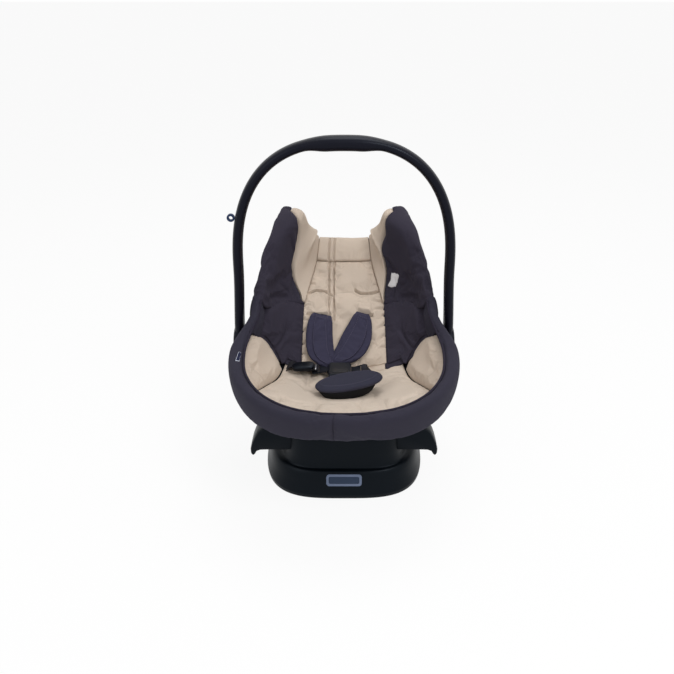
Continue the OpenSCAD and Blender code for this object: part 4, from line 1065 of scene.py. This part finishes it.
def lens(name, levels, half_w, half_l, put, material, power=2.3, slot="pad_fabric"):
    """Closed cushion of stacked superellipses; levels are (share of the half sizes, height)."""
    rings = smooth_path(levels, 16)
    (low, z0), (high, z1) = rings[0], rings[-1]
    rings = np.concatenate([[(low * f, z0) for f in (0.02, 0.35, 0.7)], rings,
                            [(high * f, z1 + 0.4) for f in (0.7, 0.35, 0.02)]])
    flat = superellipse(96, half_w, half_l, power)
    verts = [put(k * x, k * y, z) for k, z in rings for x, y in flat]
    uv = [(k * x, k * y) for k, z in rings for x, y in flat]
    return make_object(name, verts, ring_faces(len(rings), len(flat)), material, uv, slot=slot)


def turned(x0, y0, z0, yaw, pitch, roll):
    m = Euler((math.radians(pitch), math.radians(roll), math.radians(yaw)), "XYZ").to_matrix()
    return lambda x, y, z: np.array(m @ Vector((x, y, z))) + [x0, y0, z0]


def build_crotch():
    z, turn = BUCKLE_Z + 24, (17, -9, -3)
    put = turned(10, -104, z, *turn)
    pad = lens("crotch_cushion", [[0.62, 0], [0.88, 1.5], [1, 5.5], [0.985, 9.5], [0.86, 13], [0.5, 15.6]],
               64, 38, put, M["pad_top"])
    # the underside is the same cover as the top; its near-black colour is painted shade
    under = lens("crotch_underside", [[0.66, -16.5], [0.8, -14.5], [0.91, -8], [1.0, 0], [0.96, 4]],
                 55, 35, turned(6, -107, z, *turn), M["pad_underside_shade"])
    return soft_piece(pad, "crotch_pad", 0.7), under, put


# ---- handle, one smooth moulding with its soft hold, and the two hubs ----
HUB_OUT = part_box("handle_bar")[1][0] / MM
HUB_IN = HUB_OUT - 20
BAR_X, LEAN, SPRING_Z, ARCH_TOP, BAR_THIN, BAR_DEEP = HUB_IN + 9.5, 5, 400, 638, 19, 34
HOLD_THIN, HOLD_DEEP, BAR_DEEP_LOW = 27.5, 38.5, 46
# Section of a hub's shell as (radius, x): round the pin's hole, over the outside and into the button's well
HUB_RING = [(6.1, HUB_IN), (33.5, HUB_IN), (37, HUB_IN + 3), (37, HUB_OUT - 6), (36.2, HUB_OUT - 3), (34, HUB_OUT - 1),
            (31, HUB_OUT), (19.4, HUB_OUT), (17.6, HUB_OUT - 1.6), (17.5, HUB_IN + 7), (6.1, HUB_IN + 7)]


def build_handle():
    leg = [(mix(BAR_X, BAR_X - LEAN, float(ease(k))), mix(256, SPRING_Z, k)) for k in np.linspace(0, 0.96, 24)]
    a = np.radians(np.linspace(0, 180, 129))
    arch = list(zip((BAR_X - LEAN) * signed_power(np.cos(a), 0.8),
                    SPRING_Z + (ARCH_TOP - SPRING_Z) * np.maximum(np.sin(a), 0) ** 0.8))
    path = np.array(leg + arch + [(-x, z) for x, z in leg[::-1]])
    for _ in range(2):
        path[1:-1] = (path[:-2] + 2 * path[1:-1] + path[2:]) / 4
    n = 36
    g = np.linspace(0, 2 * math.pi, n + 1)[:-1]
    c, d = signed_power(np.cos(g), 0.85), signed_power(np.sin(g), 0.85)
    verts, uv = [], []
    for (x, z), (ax, az), run in zip(path, unit(np.gradient(path, axis=0)), run_along(path)):
        hold = float(ease((76 - abs(x)) / 46)) if z > 560 else 0
        near = float(ease((HUB_Z + 100 - z) / 90))
        thin, deep = mix(BAR_THIN, HOLD_THIN, hold), mix(mix(BAR_DEEP, HOLD_DEEP, hold), BAR_DEEP_LOW, near)
        z -= (thin - BAR_THIN) * 0.32
        verts += [(x + az * thin / 2 * c[k], HUB_Y + deep / 2 * d[k], z - ax * thin / 2 * c[k]) for k in range(n)]
        uv += [(g[k] * 16, run) for k in range(n)]
    faces = [(i * n + j, (i + 1) * n + j, (i + 1) * n + (j + 1) % n, i * n + (j + 1) % n)
             for i in range(len(path) - 1) for j in range(n)]
    faces += [tuple(range(n)), tuple((len(path) - 1) * n + j for j in range(n))[::-1]]
    m = 96
    for side in (1, -1):
        start = len(verts)
        for r, x in HUB_RING:
            for k in range(m):
                b = 2 * math.pi * k / m
                verts.append((side * x, HUB_Y + r * math.cos(b), HUB_Z + r * math.sin(b)))
                uv.append((r, b * 20))
        for i in range(len(HUB_RING)):
            q, w = start + i * m, start + (i + 1) % len(HUB_RING) * m
            for k in range(m):
                f = (q + k, q + (k + 1) % m, w + (k + 1) % m, w + k)
                faces.append(f if side > 0 else f[::-1])
    o = make_object("handle_moulding", verts, faces, M["handle"], uv, body="handle", slot="handle_plastic")
    o.data.set_sharp_from_angle(angle=math.radians(38))
    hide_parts("handle_bar", "handle_grip")


# ---- base ----
BASE_Y, SKIRT_TOP, TRAY_Z, CRADLE_TOP = 15, 56, 100, 118


def hard(o, width):
    """Small round on the sharp edges of a moulding."""
    m = o.modifiers.new("round", "BEVEL")
    m.width = width * MM
    m.segments = 2
    m.limit_method = "ANGLE"
    m.angle_limit = math.radians(32)
    bake_modifiers(o)
    o.data.set_sharp_from_angle(angle=math.radians(40))
    return o


def loft(name, levels, half_w, half_l, power):
    """Closed shell of stacked superellipses; levels are (inset, height)."""
    rings = []
    for inset, z in levels:
        flat = superellipse(220, half_w - inset, half_l - inset, power)
        rings.append(np.insert(flat + [0, BASE_Y], 2, float(z), axis=1))
    rings = np.array(rings)
    o = make_object(name, rings.reshape(-1, 3), ring_faces(*rings.shape[:2]), M["base"],
                    lengths(rings).reshape(-1, 2), body="base", slot="base_plastic")
    o.data.set_sharp_from_angle(angle=math.radians(48))
    return o


SKIRT_OUTER = [(4, 0), (1, 2.4), (0, 9), (0.7, 13), (5, 28), (8, 40), (10.6, 48), (14, 53.6), (19, 55.8), (27, 56),
               (38, 56)]
SKIRT_INNER = [(32, SKIRT_TOP - 3.2), (20, SKIRT_TOP - 4.2), (14.2, 47), (8.2, 28), (3.2, 10), (5.2, 0)]
FOOT = SKIRT_TOP + 0.1
TUB_OUTER = [(-5, FOOT), (-2.4, FOOT + 1.6), (-0.4, FOOT + 6), (1, 72), (2, 90), (3, 109), (3.6, 114), (4.8, 117.4),
             (6.4, 118), (8, 117.7), (9.2, 115), (10, 108), (11, 102.5), (13, TRAY_Z), (18, TRAY_Z)]
TUB_INNER = [(16, TRAY_Z - 3.2), (8, TRAY_Z - 9.2), (3.2, FOOT + 4), (3.2, FOOT), (-4.8, FOOT)]
TUB_HALF_W, TUB_HALF_L, TUB_POWER = 123, 167, 4.6
ROCKER_RADIUS, ROCKER_Y, ROCKER_X = 520, 10, 92
# The hook of a belt guide as (x, z) from its outer end at the cradle's top, and the guide's middle and half width in y
HOOK = [(-44, 12.5), (-34, 12.6), (-25, 10.2), (-16, 4), (-9.5, -7), (-4, -22), (-0.4, -36), (-0.8, -45), (-4, -49.5),
        (-8, -46), (-11, -40), (-18, -37), (-30, -36.5)]
GUIDE_X, GUIDE_Y, GUIDE_HALF = 180, -108, 23


def build_guide(name, side):
    rows = []
    for k in np.linspace(-1, 1, 9):
        y = GUIDE_Y + GUIDE_HALF * k
        tuck = 1.6 * abs(k) ** 8
        wall = (1 - min((abs(y - BASE_Y) / (TUB_HALF_L - 0.5)), 1) ** TUB_POWER) ** (1 / TUB_POWER) * (TUB_HALF_W - 1)
        ring = [(wall - 1.5, tuck - 36), (wall - 2.6, -8), (wall - 4.5, 2), (wall + 1, 9.5 - tuck)]
        ring += [(GUIDE_X + a - tuck * (a > -20), b - tuck * np.sign(b + 20)) for a, b in HOOK]
        rows.append([(side * a, y, CRADLE_TOP + b) for a, b in ring])
    rows = np.array(rows)
    faces = ring_faces(*rows.shape[:2])
    if side > 0:
        faces = [f[::-1] for f in faces]
    o = hard(make_object(name, rows.reshape(-1, 3), faces, M["base"], np.zeros((rows.size // 3, 2)),
                         body="base", slot="base_plastic"), 1.3)
    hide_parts("belt_guide_" + hand(side))


def build_base():
    skirt = loft("base_lower", SKIRT_INNER + list(spline_at(SKIRT_OUTER, np.linspace(0, 10, 61))),
                 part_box("base_skirt")[1][0] / MM, 190, 3.4)
    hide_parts("base_skirt")
    tub = loft("base_tub", TUB_INNER + list(spline_at(TUB_OUTER, np.linspace(0, 14, 85))),
               TUB_HALF_W, TUB_HALF_L, TUB_POWER)
    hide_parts("base_cradle")
    # saddles that carry the rocker rails
    for x in (-ROCKER_X, ROCKER_X):
        for y in (-60, 62):
            u, v = uvgrid(16, 6)
            p = np.stack([x + 9 * (2 * v - 1), ROCKER_Y + y + 17 * (2 * u - 1), np.zeros_like(u)], -1)
            top, under = p.copy(), p.copy()
            top[..., 2] = 112 + ROCKER_RADIUS - np.sqrt((ROCKER_RADIUS + 0.3) ** 2 - (p[..., 1] - ROCKER_Y) ** 2)
            under[..., 2] = TRAY_Z - 1
            name = "saddle_%s_%s" % (hand(x), "back" if y > 0 else "front")
            hard(slab(name, top, under, M["base"], body="base", slot="base_plastic"), 0.8)
    both("guide", build_guide)


def on_surface(o, points, lift=0.3):
    """Nearest places on a finished piece, a little above it."""
    out = []
    for p in np.asarray(points) * MM:
        place, normal = o.closest_point_on_mesh(Vector(p))[1:3]
        out.append(np.array(place + normal * lift * MM) / MM)
    return np.array(out)


def tag(name, piece, place, across, up, w, h, material, edge):
    """Blank sewn-in cloth tag lying on a finished piece, with a narrow border."""
    across, up = unit(np.array(across, float)), np.array(up, float)
    up = unit(up - np.dot(up, across) * across)
    u, v = uvgrid(12, 12)
    for part, k, lift, cloth in (("edge", 1.0, 0.5, edge), ("face", 0.8, 0.9, material)):
        p = (np.array(place) + (w * k * (v - 0.5))[..., None] * across
             + (h * (1 - (1 - k) * w / h) * (u - 0.5))[..., None] * up)
        flat = p.reshape(-1, 3)
        top = on_surface(piece, flat, lift + 0.5).reshape(p.shape)
        under = on_surface(piece, flat, lift - 1.0).reshape(p.shape)
        subdivide(slab("%s_%s" % (name, part), top, under, cloth, slot="pad_fabric"))


# ---- build everything ----
build_seat()
both("lobe", build_lobe)
build_back()
both("panel", build_panel)
both("lining", build_lining)
wings = both("wing", build_wing)
build_head()
rim = build_rim()
straps = both("belt", build_strap)
shoulder_pads = both("belt_pad", build_shoulder_pad)
crotch, crotch_under, crotch_put = build_crotch()
lap_strap = build_lap_strap()
build_backing()
build_handle()
build_base()
run_cloth()
for o, *_ in swelling:
    subdivide(o)

# topstitching on the harness pads
for o, side in zip(shoulder_pads, (1, -1)):
    loop = [(k, 0.24) for k in np.linspace(0.1, 0.86, 40)] + [(0.88, k) for k in np.linspace(0.3, 0.7, 10)]
    loop += [(k, 0.76) for k in np.linspace(0.86, 0.1, 40)]
    line = on_pad(*pad_grid(side, *np.array(loop).T), STRAP_O + 14 + PAD_LIFT[side])
    stitches("stitch_pad_" + hand(side), on_surface(o, line))

# blank tags on the right wing and the left of the rim, and the seam down the front of the rim
tag("tag_wing", wings[0], (106, 137, 323), (0.86, -0.45, -0.05), (-0.1, 0.1, 1), 23, 31, M["tag"], M["tag"])
tag("tag_rim", rim, (-190, -115, 280.5), (-0.9, 0.1, -0.35), (0.06, 1, 0.06), 11, 30, M["tag_blue"], M["tag_edge"])
section = spline_at(roll_outer(0.0), np.linspace(1.6, 6.6, 44))
section = mix(flipped(section), section, FRONT_SEAM) - [0, 2.9, 0]
tube("rim_seam", on_surface(rim, section, -0.2), 0.55, M["piping"], slot="dark_fabric")
# webbing adjuster on the left lap strap, with its steel bar
lens("adjuster", [[0.7, -5], [0.94, -3.6], [1, 0], [0.94, 3.8], [0.66, 5.4]], 22, 12.5,
     turned(-80, -30, 209, -3, 4, -6), M["buckle"], power=3.2, slot="buckle_plastic")
tube("adjuster_bar", [(-55.5, -40 + k, 208.5) for k in np.linspace(0, 18, 7)], 1.6, M["steel"], slot="steel")
ring = [crotch_put(54 * math.cos(a), 30 * math.sin(a), 15) for a in np.linspace(0, 2 * math.pi, 121)]
stitches("stitch_crotch", on_surface(crotch, ring))
rim_line = rim_point(np.linspace(0, 7.9, 150), -8, 4)
tube("seat_piping", both_halves(rim_line, FRONT_ROWS, PIPING_BULGE), 2.4, M["piping"], slot="dark_fabric")

# ---- every piece rides on its body ----
for o, replaced, fill in soft:
    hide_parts(replaced)
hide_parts("shoulder_strap_right")
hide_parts("shoulder_strap_left")
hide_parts("lap_strap_right")
for o in list(scene.objects):
    if "body" in o.keys():
        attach(o, o["body"])

# ---- materials of the carried-over nodes ----
FINISH = {
    "rubber": ["base_feet"],
    "steel": ["base_screws", "catch_brackets", "catch_bar", "hub_pin_left", "hub_pin_right", "lap_anchors",
              "harness_yoke", "lock_spring_left", "lock_spring_right", "latch_shaft", "latch_springs", "buckle_spring"],
    "badge_rim": ["badge_frame"], "badge": ["badge_plate"],
    "shell": ["carrier_shell", "rocker_left", "rocker_right"],
    "foam": ["foam_liner"],
    "buckle": ["tongue_left", "tongue_right", "buckle_body"], "button": ["buckle_button"],
    "web": ["lap_strap_left", "crotch_strap"],
    "handle": ["lock_button_left", "lock_button_right"], "ring": ["handle_ring"],
    "latch": ["latch_hooks", "latch_lever"],
}
for key, names in FINISH.items():
    for name in names:
        o = frame["nodes"][name]
        if not o.material_slots:
            o.data.materials.append(M[key])
        for slot in o.material_slots:
            slot.material = M[key]


# ---- floor, backdrop and light ----
def seen_directly(nt):
    """1 for camera and mirror rays, to which the studio is white."""
    path = node(nt, "ShaderNodeLightPath")
    return math_node(nt, "MAXIMUM", path.outputs["Is Camera Ray"], path.outputs["Is Glossy Ray"])


FLOOR_HALF = 40000
floor_mat, nt, b = new_material("floor_pale", Base_Color=(0.86, 0.86, 0.86, 1), Roughness=0.9, Specular_IOR_Level=0.1)
glow = node(nt, "ShaderNodeEmission", Color=(1, 1, 1, 1), Strength=1.0)
blend = node(nt, "ShaderNodeMixShader")
nt.links.new(math_node(nt, "MULTIPLY", seen_directly(nt), 0.9), blend.inputs[0])
nt.links.new(b.outputs[0], blend.inputs[1])
nt.links.new(glow.outputs[0], blend.inputs[2])
nt.links.new(blend.outputs[0], nt.nodes["Material Output"].inputs["Surface"])
corners = [(x * FLOOR_HALF, y * FLOOR_HALF, 0) for x, y in ((-1, -1), (1, -1), (1, 1), (-1, 1))]
floor = make_object("floor", corners, [(0, 1, 2, 3)], floor_mat, smooth=False)
del floor["body"]

world = bpy.data.worlds.new("studio")
scene.world = world
world.use_nodes = True
nt = world.node_tree
back_node = nt.nodes["Background"]
nt.links.new(math_node(nt, "MULTIPLY_ADD", seen_directly(nt), 0.45, 0.55), back_node.inputs["Strength"])
back_node.inputs["Color"].default_value = (1, 1, 1, 1)


def lamp(name, place, target, size, power):
    data = bpy.data.lights.new(name, "AREA")
    data.shape = "DISK"
    data.size = size
    data.energy = power
    o = add_object(name, data)
    o.location = place
    o.rotation_euler = (Vector(target) - Vector(place)).to_track_quat("-Z", "Y").to_euler()


lamp("key", (1.2, -1.5, 2.3), (0, 0, 0.25), 1.0, 30)
lamp("fill", (-1.5, -1.4, 1.5), (0, 0, 0.25), 1.4, 9)
lamp("top", (0.2, 0.5, 2.4), (0, 0, 0.3), 1.2, 16)

scene.view_settings.view_transform = "Standard"
